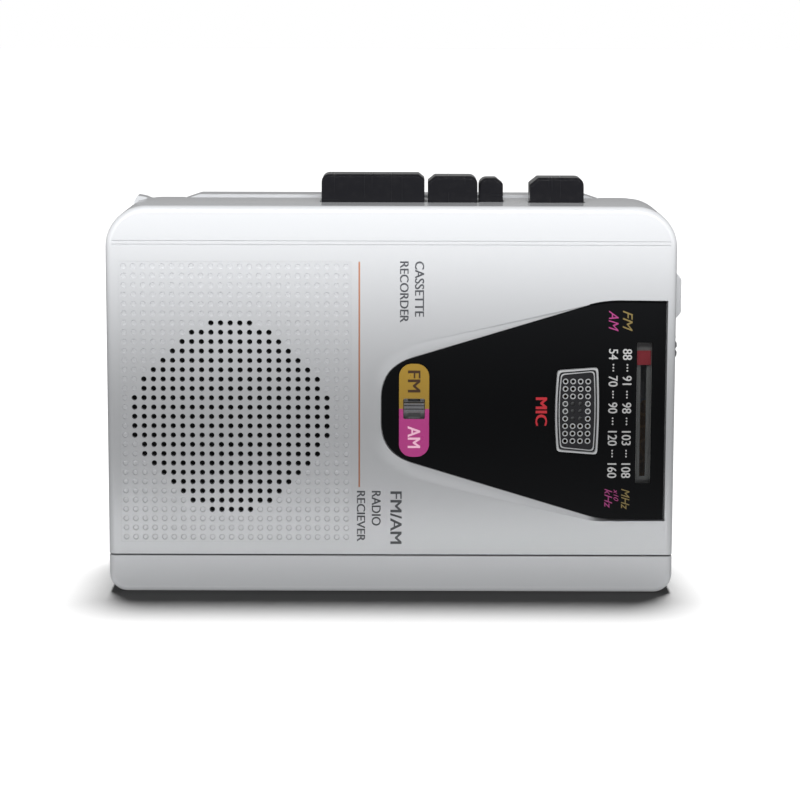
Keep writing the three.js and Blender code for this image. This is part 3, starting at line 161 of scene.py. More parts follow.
class Workpiece:
    """A solid that is being shaped, in millimetres."""

    def __init__(self) -> None:
        """Start with nothing on the bench."""
        self.bm = bmesh.new()

    @classmethod
    def block(cls, x: Span, y: Span, z: Span) -> Workpiece:
        """Return a box.

        Args:
            x: Its range along X.
            y: Its range along Y.
            z: Its range along Z.

        Returns:
            The box.
        """
        piece = cls()
        spans = (x, y, z)
        place = Matrix.Translation([sum(s) / 2 for s in spans])
        size = Matrix.Diagonal([s[1] - s[0] for s in spans] + [1])
        bmesh.ops.create_cube(piece.bm, size=1, matrix=place @ size)
        return piece

    @classmethod
    def prism(cls, outline: Sequence[Point], span: Span, along: Axis = Axis.Y) -> Workpiece:
        """Return an outline extruded along an axis.

        Args:
            outline: Points in the plane of the two other axes, in X, Y, Z order.
            span: Where it starts and ends along the axis.
            along: The axis.

        Returns:
            The prism.
        """
        piece = cls()
        corners = []
        for a, b in outline:
            point = [a, b]
            point.insert(along.value, span[0])
            corners.append(piece.bm.verts.new(point))
        face = piece.bm.faces.new(corners)
        grown = bmesh.ops.extrude_face_region(piece.bm, geom=[face])
        shift = [0.0, 0.0, 0.0]
        shift[along.value] = span[1] - span[0]
        top = [g for g in grown["geom"] if isinstance(g, bmesh.types.BMVert)]
        bmesh.ops.translate(piece.bm, verts=top, vec=shift)
        bmesh.ops.remove_doubles(piece.bm, verts=piece.bm.verts, dist=1e-4)
        bmesh.ops.recalc_face_normals(piece.bm, faces=piece.bm.faces)
        return piece

    @classmethod
    def rod(cls, along: Axis, radius: float, span: Span, centre: Point, sides: int = 32) -> Workpiece:
        """Return a round rod.

        Args:
            along: The axis it runs along.
            radius: Its radius.
            span: Where it starts and ends.
            centre: Its two other coordinates.
            sides: How many sides it has.

        Returns:
            The rod.
        """
        piece = cls()
        middle = list(centre)
        middle.insert(along.value, sum(span) / 2)
        turn = {
            Axis.X: Matrix.Rotation(math.pi / 2, 4, "Y"),
            Axis.Y: Matrix.Rotation(math.pi / 2, 4, "X"),
            Axis.Z: Matrix.Identity(4),
        }[along]
        bmesh.ops.create_cone(
            piece.bm,
            cap_ends=True,
            segments=sides,
            radius1=radius,
            radius2=radius,
            depth=span[1] - span[0],
            matrix=Matrix.Translation(middle) @ turn,
        )
        return piece

    @classmethod
    def turned(cls, profile: Sequence[Point], centre: Point, sides: int = 48) -> Workpiece:
        """Return a profile spun about a line along Y.

        Args:
            profile: Points of radius and Y, closed on themselves or on the line.
            centre: The line's X and Z.
            sides: How many steps the turn takes.

        Returns:
            The turned piece.
        """
        piece = cls()
        points = [piece.bm.verts.new((centre[0] + r, y, centre[1])) for r, y in profile]
        edges = [piece.bm.edges.new(pair) for pair in zip(points, points[1:])]
        if profile[0][0] > 0 and profile[-1][0] > 0:
            edges.append(piece.bm.edges.new((points[-1], points[0])))
        bmesh.ops.spin(
            piece.bm,
            geom=[*points, *edges],
            cent=(centre[0], 0, centre[1]),
            axis=(0, 1, 0),
            angle=2 * math.pi,
            steps=sides,
            use_merge=True,
        )
        bmesh.ops.remove_doubles(piece.bm, verts=piece.bm.verts, dist=1e-4)
        bmesh.ops.recalc_face_normals(piece.bm, faces=piece.bm.faces)
        return piece

    @classmethod
    def lofted(cls, rings: Sequence[tuple[Sequence[Point], float]], closed: bool = False) -> Workpiece:
        """Return a solid bridged between outlines of equal length at different Y.

        Args:
            rings: Pairs of an outline and its Y.
            closed: Whether the last outline joins the first, as on a frame, or both are capped.

        Returns:
            The solid.
        """
        piece = cls()
        loops = []
        for outline, y in rings:
            verts = [piece.bm.verts.new((x, y, z)) for x, z in outline]
            loops.append([piece.bm.edges.new(pair) for pair in zip(verts, verts[1:] + verts[:1])])
        for near, far in zip(loops, loops[1:]):
            bmesh.ops.bridge_loops(piece.bm, edges=[*near, *far])
        if closed:
            bmesh.ops.bridge_loops(piece.bm, edges=[*loops[-1], *loops[0]])
        else:
            for loop in (loops[0], loops[-1]):
                bmesh.ops.contextual_create(piece.bm, geom=loop)
        bmesh.ops.recalc_face_normals(piece.bm, faces=piece.bm.faces)
        return piece

    @classmethod
    def copy_of(cls, other: Workpiece) -> Workpiece:
        """Return a copy of another piece.

        Args:
            other: The piece.

        Returns:
            The copy.
        """
        piece = cls()
        piece.bm = other.bm.copy()
        return piece

    @classmethod
    def of_node(cls, node: str) -> Workpiece:
        """Return a copy of a CAD node, its doubled vertices merged.

        Args:
            node: The CAD node's name.

        Returns:
            The copy.
        """
        piece = cls()
        piece.bm.from_mesh(frame["nodes"][node].data)
        bmesh.ops.scale(piece.bm, verts=piece.bm.verts, vec=(1 / MM,) * 3)
        bmesh.ops.remove_doubles(piece.bm, verts=piece.bm.verts, dist=1e-3)
        bmesh.ops.dissolve_limit(
            piece.bm, angle_limit=math.radians(0.5), verts=piece.bm.verts, edges=piece.bm.edges
        )
        return piece

    def bevel(
        self, wanted: Callable[[bmesh.types.BMEdge], bool], offset: float, segments: int = 3
    ) -> Workpiece:
        """Round some of the edges.

        Args:
            wanted: Says whether an edge is rounded.
            offset: How far the rounding reaches.
            segments: How many steps it has.

        Returns:
            This piece.
        """
        bmesh.ops.bevel(
            self.bm,
            geom=[e for e in self.bm.edges if wanted(e)],
            offset=offset,
            segments=segments,
            profile=0.5,
            affect="EDGES",
            material=-1,
            clamp_overlap=True,
        )
        return self

    def moved(self, x: float = 0, y: float = 0, z: float = 0) -> Workpiece:
        """Shift this piece and return it."""
        bmesh.ops.translate(self.bm, verts=self.bm.verts, vec=(x, y, z))
        return self

    def add(self, *others: Workpiece) -> Workpiece:
        """Lay other pieces' surfaces beside this one's.

        Args:
            others: The pieces.

        Returns:
            This piece.
        """
        for other in others:
            mesh = other.mesh("laid")
            self.bm.from_mesh(mesh)
            bpy.data.meshes.remove(mesh)
        return self

    def cut(self, *tools: Workpiece) -> Workpiece:
        """Take the tools' solids out of this one and return it."""
        return self._combine("DIFFERENCE", tools)

    def keep(self, tool: Workpiece) -> Workpiece:
        """Keep only what is inside the tool and return it."""
        return self._combine("INTERSECT", (tool,))

    def _combine(self, operation: str, tools: Sequence[Workpiece]) -> Workpiece:
        """Carry out a Boolean operation with each tool in turn, on scratch objects.

        Args:
            operation: DIFFERENCE or INTERSECT.
            tools: The tools.

        Returns:
            This piece, as the operation leaves it.
        """
        for tool in tools:
            pair = [bpy.data.objects.new("bench", p.mesh("bench")) for p in (self, tool)]
            for item in pair:
                bpy.context.scene.collection.objects.link(item)
            carve = pair[0].modifiers.new("carve", "BOOLEAN")
            carve.operation, carve.solver, carve.object = operation, "EXACT", pair[1]
            carved = pair[0].evaluated_get(bpy.context.evaluated_depsgraph_get())
            result = bpy.data.meshes.new_from_object(carved)
            self.bm.clear()
            self.bm.from_mesh(result)
            for item in pair:
                mesh = item.data
                bpy.data.objects.remove(item)
                bpy.data.meshes.remove(mesh)
            bpy.data.meshes.remove(result)
        return self

    def mesh(self, name: str) -> bpy.types.Mesh:
        """Return this piece as a new mesh.

        Args:
            name: The mesh's name.

        Returns:
            The mesh.
        """
        mesh = bpy.data.meshes.new(name)
        self.bm.to_mesh(mesh)
        return mesh

    def finish(
        self,
        name: str,
        body: str,
        coat: Finish,
        replaces: Sequence[str] = (),
        edge: float = 0.0,
        smooth: float = 32,
    ) -> bpy.types.Object:
        """Turn the piece into an object that rides on a body.

        Args:
            name: The object's name.
            body: The CAD body it moves with.
            coat: Its finish.
            replaces: CAD nodes it stands for.
            edge: The width of the small round on its sharp edges, or 0 for none.
            smooth: Edges sharper than this many degrees stay crisp.

        Returns:
            The object.
        """
        bmesh.ops.remove_doubles(self.bm, verts=self.bm.verts, dist=2e-4)
        bmesh.ops.scale(self.bm, verts=self.bm.verts, vec=(MM,) * 3)
        mesh = self.mesh(name)
        self.bm.free()
        mesh.shade_smooth()
        mesh.set_sharp_from_angle(angle=math.radians(smooth))
        mesh.materials.append(coat.material())
        piece = bpy.data.objects.new(name, mesh)
        bpy.context.scene.collection.objects.link(piece)
        if edge:
            rounding = piece.modifiers.new("edge_round", "BEVEL")
            rounding.width, rounding.segments = edge * MM, 2
            rounding.limit_method, rounding.angle_limit = "ANGLE", math.radians(35)
            rounding.harden_normals = True
        evened = piece.modifiers.new("even_shading", "WEIGHTED_NORMAL")
        evened.keep_sharp = True
        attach(piece, body)
        if replaces:
            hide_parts(*replaces)
        LOG.info("%s rides on %s with %d faces", name, body, len(mesh.polygons))
        return piece


# ---------------------------------------------------------------- finishes


class Surface(Enum):
    """The kinds of surface detail."""

    MOULDED = "moulded"
    LACQUER = "lacquer"
    POLISHED = "polished"
    BRUSHED = "brushed"
    WOVEN = "woven"
    LAMINATE = "laminate"


def new_group(
    name: str, numbers: dict[str, float], outputs: Sequence[str]
) -> tuple[Wiring, bpy.types.Node, bpy.types.Node]:
    """Start a shader node group that takes a place and some numbers and puts out numbers.

    Args:
        name: The group's name.
        numbers: Each number it takes, with its default. The input "Vector" comes before them.
        outputs: The names of what it puts out.

    Returns:
        The group's wiring, its Group Input node and its Group Output node.
    """
    group = bpy.data.node_groups.new(name, "ShaderNodeTree")
    group.interface.new_socket("Vector", in_out="INPUT", socket_type="NodeSocketVector")
    for socket, value in numbers.items():
        made = group.interface.new_socket(socket, in_out="INPUT", socket_type="NodeSocketFloat")
        made.default_value = value
    for socket in outputs:
        group.interface.new_socket(socket, in_out="OUTPUT", socket_type="NodeSocketFloat")
    return Wiring(group), group.nodes.new("NodeGroupInput"), group.nodes.new("NodeGroupOutput")


@dataclass
class Wiring:
    """Adds nodes to a tree and joins them."""

    tree: bpy.types.NodeTree

    def node(
        self, kind: str, settings: dict[str, object] | None = None, **sockets: object
    ) -> bpy.types.Node:
        """Add a node.

        Args:
            kind: Its type, without the ShaderNode prefix.
            settings: Attributes of the node.
            sockets: Values or other nodes' outputs, by input name with _ for a space.

        Returns:
            The node.
        """
        made = self.tree.nodes.new("ShaderNode" + kind)
        for name, value in (settings or {}).items():
            setattr(made, name, value)
        for name, value in sockets.items():
            self.plug(made, name.replace("_", " "), value)
        return made

    def plug(self, node: bpy.types.Node, socket: str | int, value: object) -> None:
        """Set an input to a value, or join another node's output to it.

        Args:
            node: The node.
            socket: The input's name or number.
            value: A value or another node's output.
        """
        target = node.inputs[socket]
        if isinstance(value, bpy.types.NodeSocket):
            self.tree.links.new(value, target)
        else:
            target.default_value = value

    def math(self, operation: str, *terms: object, clamp: bool = False) -> bpy.types.NodeSocket:
        """Add a Math node.

        Args:
            operation: What it does.
            terms: Values or other nodes' outputs.
            clamp: Whether the result is kept from 0 to 1.

        Returns:
            Its result.
        """
        made = self.node("Math", {"operation": operation, "use_clamp": clamp})
        for i, term in enumerate(terms):
            self.plug(made, i, term)
        return made.outputs[0]

    def blend(self, share: object, first: object, second: object) -> bpy.types.NodeSocket:
        """Mix two colours.

        Args:
            share: How much of the second colour there is.
            first: The first colour.
            second: The second colour.

        Returns:
            The mixed colour.
        """
        made = self.node("Mix", {"data_type": "RGBA"})
        for socket, value in ((0, share), (6, first), (7, second)):
            self.plug(made, socket, value)
        return made.outputs[2]

    def between(
        self, value: object, low: float, high: float, to_low: float, to_high: float
    ) -> bpy.types.NodeSocket:
        """Map a range onto another, clamped.

        Args:
            value: What is mapped.
            low: The range's start.
            high: The range's end.
            to_low: What the start becomes.
            to_high: What the end becomes.

        Returns:
            The mapped value.
        """
        limits = {"From_Min": low, "From_Max": high, "To_Min": to_low, "To_Max": to_high}
        return self.node("MapRange", Value=value, **limits).outputs[0]


class Effects:
    """Node groups that the finishes share, each made once."""

    _made: dict[str, bpy.types.NodeTree] = {}

    @classmethod
    def get(cls, name: str) -> bpy.types.NodeTree:
        """Return a group by name, making it the first time.

        Args:
            name: The group's name.

        Returns:
            The group.
        """
        if name not in cls._made:
            cls._made[name] = getattr(cls, "_" + name)()
        return cls._made[name]

    @staticmethod
    def _grain() -> bpy.types.NodeTree:
        """Return the fine grain of a moulded or sprayed surface."""
        w, enter, leave = new_group("grain", {"Scale": 900.0}, ("Height", "Mottle"))
        place, scale = enter.outputs[0], enter.outputs[1]
        coarse_scale = w.math("MULTIPLY", scale, 0.06)
        fine = w.node("TexNoise", Vector=place, Scale=scale, Detail=3.0)
        coarse = w.node("TexNoise", Vector=place, Scale=coarse_scale, Detail=5.0, Roughness=0.65)
        w.plug(leave, 0, fine.outputs[0])
        w.plug(leave, 1, coarse.outputs[0])
        return w.tree

    @staticmethod
    def _scratches() -> bpy.types.NodeTree:
        """Return hairline scratches in two directions."""
        w, enter, leave = new_group("scratches", {"Amount": 0.5}, ("Mask",))
        masks = []
        for turn, stretch in ((0.5, (40.0, 40.0, 1600.0)), (-0.9, (1900.0, 50.0, 50.0))):
            turned = w.node("Mapping", Vector=enter.outputs[0], Rotation=(0.0, turn, 0.0), Scale=stretch)
            lines = w.node("TexNoise", Vector=turned.outputs[0], Scale=1.0, Detail=2.0)
            masks.append(w.between(lines.outputs[0], 0.66, 0.72, 0.0, 1.0))
        w.plug(leave, 0, w.math("MULTIPLY", w.math("MAXIMUM", *masks), enter.outputs[1]))
        return w.tree

    @staticmethod
    def _edge_wear() -> bpy.types.NodeTree:
        """Return a mask of rubbed edges, broken up by noise."""
        w, enter, leave = new_group("edge_wear", {"Amount": 0.3}, ("Mask",))
        edges = w.between(w.node("NewGeometry").outputs["Pointiness"], 0.53, 0.62, 0.0, 1.0)
        noise = w.node("TexNoise", Vector=enter.outputs[0], Scale=420.0, Detail=4.0)
        broken = w.math("MULTIPLY", edges, w.between(noise.outputs[0], 0.45, 0.65, 0.0, 1.0))
        w.plug(leave, 0, w.math("MULTIPLY", broken, enter.outputs[1]))
        return w.tree

    @staticmethod
    def _dust() -> bpy.types.NodeTree:
        """Return a mask of dust on faces that look up."""
        w, enter, leave = new_group("dust", {"Amount": 0.1}, ("Mask",))
        up = w.node("SeparateXYZ", Vector=w.node("NewGeometry").outputs["Normal"]).outputs[2]
        specks = w.node("TexNoise", Vector=enter.outputs[0], Scale=700.0, Detail=6.0, Roughness=0.8)
        level = w.between(up, 0.2, 0.9, 0.15, 1.0)
        settled = w.math("MULTIPLY", level, w.between(specks.outputs[0], 0.5, 0.75, 0.0, 1.0))
        w.plug(leave, 0, w.math("MULTIPLY", settled, enter.outputs[1]))
        return w.tree

    @staticmethod
    def _brushing() -> bpy.types.NodeTree:
        """Return fine parallel streaks."""
        w, enter, leave = new_group("brushing", {}, ("Streaks",))
        stretched = w.node("Mapping", Vector=enter.outputs[0], Scale=(60.0, 2500.0, 2500.0))
        lines = w.node("TexNoise", Vector=stretched.outputs[0], Scale=1.0, Detail=3.0)
        w.plug(leave, 0, lines.outputs[0])
        return w.tree

    @staticmethod
    def _weave() -> bpy.types.NodeTree:
        """Return a plain weave's height."""
        w, enter, leave = new_group("weave", {}, ("Height",))
        threads = [
            w.node("TexWave", {"bands_direction": way}, Vector=enter.outputs[0], Scale=900.0).outputs["Fac"]
            for way in ("X", "Z")
        ]
        w.plug(leave, 0, w.math("MAXIMUM", *threads))
        return w.tree


DUST: Colour = (0.42, 0.4, 0.37)
MOTTLE_DARKNESS = 0.35
COAT_ROUGHNESS = 0.12
BUMP_STRENGTH = 0.6


@dataclass(frozen=True)
class Finish:
    """A finish and the surface detail that belongs to it.

    Attributes:
        name: Its name.
        colour: Its base colour.
        roughness: Its mean roughness.
        surface: The kind of detail.
        metallic: How metallic it is.
        coat: The weight of its clear coat.
        specular: How strongly it mirrors head on.
        grain: The grain's scale.
        relief: The grain's height, in millimetres.
        mottle: How uneven the colour is.
        wear: How far its edges are rubbed.
        worn: The colour of rubbed edges.
        dust: How much dust lies on it.
        scratches: How scratched it is.
        alpha: How opaque it is.
        slot: The record's material slot it belongs to; not used.
        lower: A second colour, below the split.
        split: The height of the split, in millimetres.
    """

    name: str
    colour: Colour
    roughness: float
    surface: Surface = Surface.MOULDED
    metallic: float = 0.0
    coat: float = 0.0
    specular: float = 0.5
    grain: float = 900.0
    relief: float = 0.02
    mottle: float = 0.08
    wear: float = 0.0
    worn: Colour = (0.5, 0.5, 0.5)
    dust: float = 0.04
    scratches: float = 0.0
    alpha: float = 1.0
    slot: str = ""
    lower: Colour | None = None
    split: float = 0.0

    def material(self) -> bpy.types.Material:
        """Return the finish's material, making it the first time."""
        return bpy.data.materials.get(self.label) or self._make()

    @property
    def label(self) -> str:
        """Return the material's name, kept apart from the CAD materials' names."""
        return f"fine_{self.name}"

    def _make(self) -> bpy.types.Material:
        """Build the material's nodes and return it."""
        material = bpy.data.materials.new(self.label)
        material.use_nodes = True
        w = Wiring(material.node_tree)
        shader = material.node_tree.nodes["Principled BSDF"]
        place = w.node("TexCoord").outputs["Object"]
        height, mottle = self._detail(w, place)
        colour, rough = self._aged(w, place, mottle)
        sockets = {
            "Base Color": colour,
            "Roughness": rough,
            "Metallic": self.metallic,
            "Specular IOR Level": self.specular,
            "Coat Weight": self.coat,
            "Coat Roughness": COAT_ROUGHNESS,
            "Alpha": self.alpha,
        }
        for socket, value in sockets.items():
            w.plug(shader, socket, value)
        if self.relief:
            bump = w.node("Bump", Strength=BUMP_STRENGTH, Distance=self.relief * MM, Height=height)
            w.plug(shader, "Normal", bump.outputs[0])
        return material

    def _aged(
        self, w: Wiring, place: bpy.types.NodeSocket, mottle: bpy.types.NodeSocket
    ) -> tuple[bpy.types.NodeSocket, bpy.types.NodeSocket]:
        """Return the colour and the roughness with their mottle, wear, dust and scratches.

        Args:
            w: The material's wiring.
            place: Object coordinates.
            mottle: The surface's slow unevenness.

        Returns:
            The colour and the roughness.
        """
        shade = w.between(mottle, 0.3, 0.7, 0.0, self.mottle)
        darkened = [c * (1 - self.mottle) * MOTTLE_DARKNESS for c in self.colour]
        colour = w.blend(shade, self._base(w, place), (*darkened, 1))
        unevenness = min(0.05, self.mottle)
        swing = w.between(mottle, 0.3, 0.7, -unevenness, unevenness)
        rough = w.math("ADD", self.roughness, swing, clamp=True)
        for name, amount, tint in (("edge_wear", self.wear, self.worn), ("dust", self.dust, DUST)):
            if amount:
                mask = self._group(w, name, place, amount)
                colour = w.blend(mask, colour, (*tint, 1))
                rough = w.math("ADD", rough, w.math("MULTIPLY", mask, 0.3), clamp=True)
        if self.scratches:
            lines = self._group(w, "scratches", place, self.scratches)
            rough = w.math("ADD", rough, w.math("MULTIPLY", lines, 0.25), clamp=True)
        return colour, rough

    def _base(self, w: Wiring, place: bpy.types.NodeSocket) -> object:
        """Return the base colour, split at a height if there are two.

        Args:
            w: The material's wiring.
            place: Object coordinates.

        Returns:
            A colour or a socket.
        """
        if self.lower is None:
            return (*self.colour, 1)
        level = w.node("SeparateXYZ", Vector=place).outputs[2]
        above = w.math("GREATER_THAN", level, self.split * MM)
        return w.blend(above, (*self.lower, 1), (*self.colour, 1))

    def _group(
        self, w: Wiring, name: str, place: bpy.types.NodeSocket, amount: float
    ) -> bpy.types.NodeSocket:
        """Place a shared effect.

        Args:
            w: The material's wiring.
            name: The effect's name.
            place: Object coordinates.
            amount: How strong it is.

        Returns:
            Its mask.
        """
        effect = w.node("Group", {"node_tree": Effects.get(name)}, Vector=place, Amount=amount)
        return effect.outputs[0]

    def _detail(
        self, w: Wiring, place: bpy.types.NodeSocket
    ) -> tuple[bpy.types.NodeSocket, bpy.types.NodeSocket]:
        """Return the height and the mottle of this kind of surface.

        Args:
            w: The material's wiring.
            place: Object coordinates.

        Returns:
            The height and the mottle.
        """
        if self.surface is Surface.LAMINATE:
            tracks = w.node("TexVoronoi", {"feature": "DISTANCE_TO_EDGE"}, Vector=place, Scale=260.0)
            edge = tracks.outputs[0]
            return w.between(edge, 0.05, 0.08, 1.0, 0.0), w.between(edge, 0.05, 0.08, 0.0, 1.0)
        if self.surface is Surface.BRUSHED:
            streaks = w.node("Group", {"node_tree": Effects.get("brushing")}, Vector=place).outputs[0]
            return streaks, streaks
        grain = w.node("Group", {"node_tree": Effects.get("grain")}, Vector=place, Scale=self.grain)
        if self.surface is Surface.WOVEN:
            weave = w.node("Group", {"node_tree": Effects.get("weave")}, Vector=place)
            return weave.outputs[0], grain.outputs[1]
        return grain.outputs[0], grain.outputs[1]


SILVER = Finish(
    "silver_lacquer", (0.56, 0.57, 0.585), 0.25, Surface.LACQUER, metallic=0.55, coat=0.1,
    grain=5200.0, relief=0.004, mottle=0.008, dust=0.006, wear=0.05, worn=(0.66, 0.66, 0.67),
    slot="silver_shell",
)
BLACK_KEY = Finish(
    "black_key", (0.0048, 0.0048, 0.0058), 0.24, Surface.POLISHED, specular=0.18, relief=0.004,
    mottle=0.05, dust=0.045, scratches=0.3, slot="black_key",
)
LENS = Finish(
    "black_window", (0.0042, 0.0044, 0.0048), 0.08, Surface.POLISHED, specular=0.14, relief=0.0,
    mottle=0.03, dust=0.0, scratches=0.15, slot="black_window",
)
BAND = Finish(
    "band_plate", (0.27, 0.165, 0.02), 0.3, Surface.POLISHED, relief=0.003, slot="gold_plate",
    lower=(0.36, 0.03, 0.18), split=38.85,
)
CHROME = Finish(
    "bright_chrome", (0.75, 0.75, 0.77), 0.12, Surface.POLISHED, metallic=1.0, relief=0.003,
    mottle=0.06, dust=0.03, slot="chrome_trim",
)
SATIN_CHROME = Finish(
    "satin_chrome", (0.62, 0.63, 0.64), 0.33, Surface.POLISHED, metallic=0.55, relief=0.003,
    mottle=0.1, dust=0.03, slot="chrome_trim",
)
DARK_METAL = Finish("dark_mesh", (0.05, 0.05, 0.055), 0.35, Surface.POLISHED, metallic=0.8, relief=0.003)
GREY_WHEEL = Finish("grey_wheel", (0.075, 0.077, 0.082), 0.42, relief=0.02, dust=0.1, slot="grey_wheel")
GREY_STRIP = Finish("grey_strip", (0.22, 0.228, 0.224), 0.6, relief=0.004, slot="grey_wheel")
RED_POINTER = Finish("red_pointer", (0.42, 0.035, 0.05), 0.35, relief=0.003, slot="red_pointer")
SMOKED = Finish(
    "smoked_pane", (0.012, 0.012, 0.013), 0.1, Surface.POLISHED, relief=0.0, dust=0.0, alpha=0.3,
    slot="clear_pane",
)
CLEAR = Finish(
    "clear_pane", (0.05, 0.055, 0.06), 0.08, Surface.POLISHED, relief=0.0, alpha=0.24, slot="clear_pane",
)
CLOTH = Finish("speaker_cloth", (0.008, 0.008, 0.008), 0.9, Surface.WOVEN, relief=0.05, slot="paper_cone")
STEEL = Finish(
    "steel_plate", (0.5, 0.51, 0.52), 0.3, Surface.BRUSHED, metallic=1.0, relief=0.004, slot="steel_plate",
)
SPRING = Finish(
    "spring_wire", (0.5, 0.5, 0.52), 0.25, Surface.POLISHED, metallic=1.0, relief=0.0, slot="spring_wire",
)
BRASS = Finish(
    "brass", (0.6, 0.42, 0.16), 0.3, Surface.BRUSHED, metallic=1.0, relief=0.004, slot="brass_turned",
)
MAGNET = Finish("black_magnet", (0.03, 0.03, 0.032), 0.5, relief=0.02, slot="black_magnet")
PAPER = Finish("paper_cone", (0.02, 0.02, 0.021), 0.9, grain=1500.0, relief=0.05, slot="paper_cone")
RUBBER = Finish("black_rubber", (0.018, 0.018, 0.018), 0.8, relief=0.03, slot="black_rubber")
NYLON = Finish("cream_nylon", (0.72, 0.69, 0.6), 0.45, relief=0.01, slot="cream_nylon")
BOARD = Finish(
    "board", (0.16, 0.085, 0.022), 0.4, Surface.LAMINATE, relief=0.03, mottle=0.4, slot="board_laminate",
)
FERRITE = Finish("ferrite", (0.045, 0.04, 0.037), 0.55, relief=0.03, slot="ferrite")
COPPER = Finish(
    "copper", (0.5, 0.2, 0.075), 0.3, Surface.BRUSHED, metallic=0.9, relief=0.03, slot="copper_winding",
)
GREY_INK = Finish("grey_ink", (0.045, 0.047, 0.052), 0.5, relief=0.0)
ORANGE_INK = Finish("orange_ink", (0.24, 0.105, 0.06), 0.5, relief=0.0)
PALE_INK = Finish("pale_ink", (0.36, 0.36, 0.36), 0.5, relief=0.0)
GOLD_INK = Finish("gold_ink", (0.15, 0.11, 0.035), 0.5, relief=0.0)
MAGENTA_INK = Finish("magenta_ink", (0.24, 0.03, 0.13), 0.5, relief=0.0)
RED_INK = Finish("red_ink", (0.42, 0.012, 0.022), 0.5, relief=0.0)
BROWN_INK = Finish("brown_ink", (0.045, 0.02, 0.008), 0.5, relief=0.0)
PINK_INK = Finish("pink_ink", (0.75, 0.42, 0.55), 0.5, relief=0.0)


# ---------------------------------------------------------------- lettering


@dataclass(frozen=True)
class Label:
    """A printed word that reads downwards, the tops of its letters to the right."""

    name: str
    text: str
    x: Span
    z: Span
    ink: Finish
    slant: float = 0.0
    weight: float = 0.0
    thickness: float = 0.03

    def print_on(self, y: float, body: str = CASE) -> bpy.types.Object:
        """Make the word as a thin raised mesh.

        Args:
            y: The surface it is printed on.
            body: The CAD body it moves with.

        Returns:
            The word's object.
        """
        curve = bpy.data.curves.new(self.name, "FONT")
        curve.body, curve.shear, curve.resolution_u = self.text, self.slant, 4
        holder = bpy.data.objects.new(self.name + "_type", curve)
        bpy.context.scene.collection.objects.link(holder)
        bpy.context.view_layer.update()
        mesh = bpy.data.meshes.new_from_object(holder.evaluated_get(bpy.context.evaluated_depsgraph_get()))
        bpy.data.objects.remove(holder)
        bpy.data.curves.remove(curve)
        piece = Workpiece()
        piece.bm.from_mesh(mesh)
        bpy.data.meshes.remove(mesh)
        bmesh.ops.remove_doubles(piece.bm, verts=piece.bm.verts, dist=1e-5)
        raised = bmesh.ops.extrude_face_region(piece.bm, geom=piece.bm.faces[:])
        top = [g for g in raised["geom"] if isinstance(g, bmesh.types.BMVert)]
        bmesh.ops.translate(piece.bm, verts=top, vec=(0, 0, self.thickness))
        if self.weight:
            piece.add(Workpiece.copy_of(piece).moved(self.weight, 0, self.thickness / 10))
        wide = [v.co.x for v in piece.bm.verts]
        tall = [v.co.y for v in piece.bm.verts]
        along = (self.z[1] - self.z[0]) / (max(wide) - min(wide))
        across = (self.x[1] - self.x[0]) / (max(tall) - min(tall))
        turn = Matrix(((0, across, 0, self.x[0]), (0, 0, -1, y), (-along, 0, 0, self.z[1]), (0, 0, 0, 1)))
        shift = Matrix.Translation((-min(wide), -min(tall), 0))
        bmesh.ops.transform(piece.bm, matrix=turn @ shift, verts=piece.bm.verts)
        bmesh.ops.recalc_face_normals(piece.bm, faces=piece.bm.faces)
        return piece.finish(self.name, body, self.ink)


def scale(*marks: int) -> str:
    """Return a dial scale's numbers with dots between them."""
    return " ··· ".join(str(mark) for mark in marks)


# ---------------------------------------------------------------- sub-assemblies


@dataclass
class CaseForm:
    """The outer form that the case's pieces share.

    Attributes:
        width: The case's width.
        height: Its height without the keys.
        depth: Its depth.
        wall: The thickness of its sides.
        face_wall: The thickness of its speaker face.
        top_radius: The radius of its upper corners.
        bottom_radius: The radius of its lower corners.
        edge: The round between its faces and its sides.
        split_y: Where its two halves meet.
        gap: The clearance round what moves in it.
        key_flange: How far a key's foot stands out in front of it and behind.
    """

    width: float = 118.0
    height: float = 81.0
    depth: float = 38.0
    wall: float = 1.8
    face_wall: float = 2.6
    top_radius: float = 8.5
    bottom_radius: float = 3.8
    edge: float = 1.3
    split_y: float = 5.0
    gap: float = 0.3
    key_flange: float = 0.7

    @property
    def side(self) -> float:
        """Return how far a side is from the middle."""
        return self.width / 2

    @property
    def face_y(self) -> float:
        """Return the speaker face's Y."""
        return -self.depth / 2

    @property
    def back_y(self) -> float:
        """Return the rear's Y."""
        return self.depth / 2

    @property
    def through_face(self) -> Span:
        """Return a range along Y that goes right through the speaker face's wall."""
        return self.face_y - 1, self.face_y + self.face_wall + 1

    @property
    def through_side(self) -> Span:
        """Return a range along X that goes right through the right side's wall."""
        return self.side - self.wall - 1, self.side + 1

    def outline(self, inset: float = 0.0, top: float | None = None) -> list[Point]:
        """Return the case's outline.

        Args:
            inset: How far it is taken in.
            top: Its top, or None for the front half's.

        Returns:
            The outline.
        """
        low = max(self.bottom_radius - inset, 0.5)
        high = max(self.top_radius - inset, 0.5)
        x = (inset - self.side, self.side - inset)
        return rounded_box(x, (inset, (top or self.height) - inset), (low, low, high, high), 12)

    def body(self, span: Span, top: float | None = None) -> Workpiece:
        """Return the case's outer solid with its outer edges rounded.

        Args:
            span: Its range along Y.
            top: Its top, or None for the front half's.

        Returns:
            The solid.
        """
        ends = (self.face_y, self.back_y)
        rounds = [y for y in span if y in ends]
        solid = Workpiece.prism(self.outline(0.0, top), span)
        solid.bevel(lambda e: any(all(abs(v.co.y - y) < 1e-3 for v in e.verts) for y in rounds), self.edge, 5)
        return solid


FORM = CaseForm()


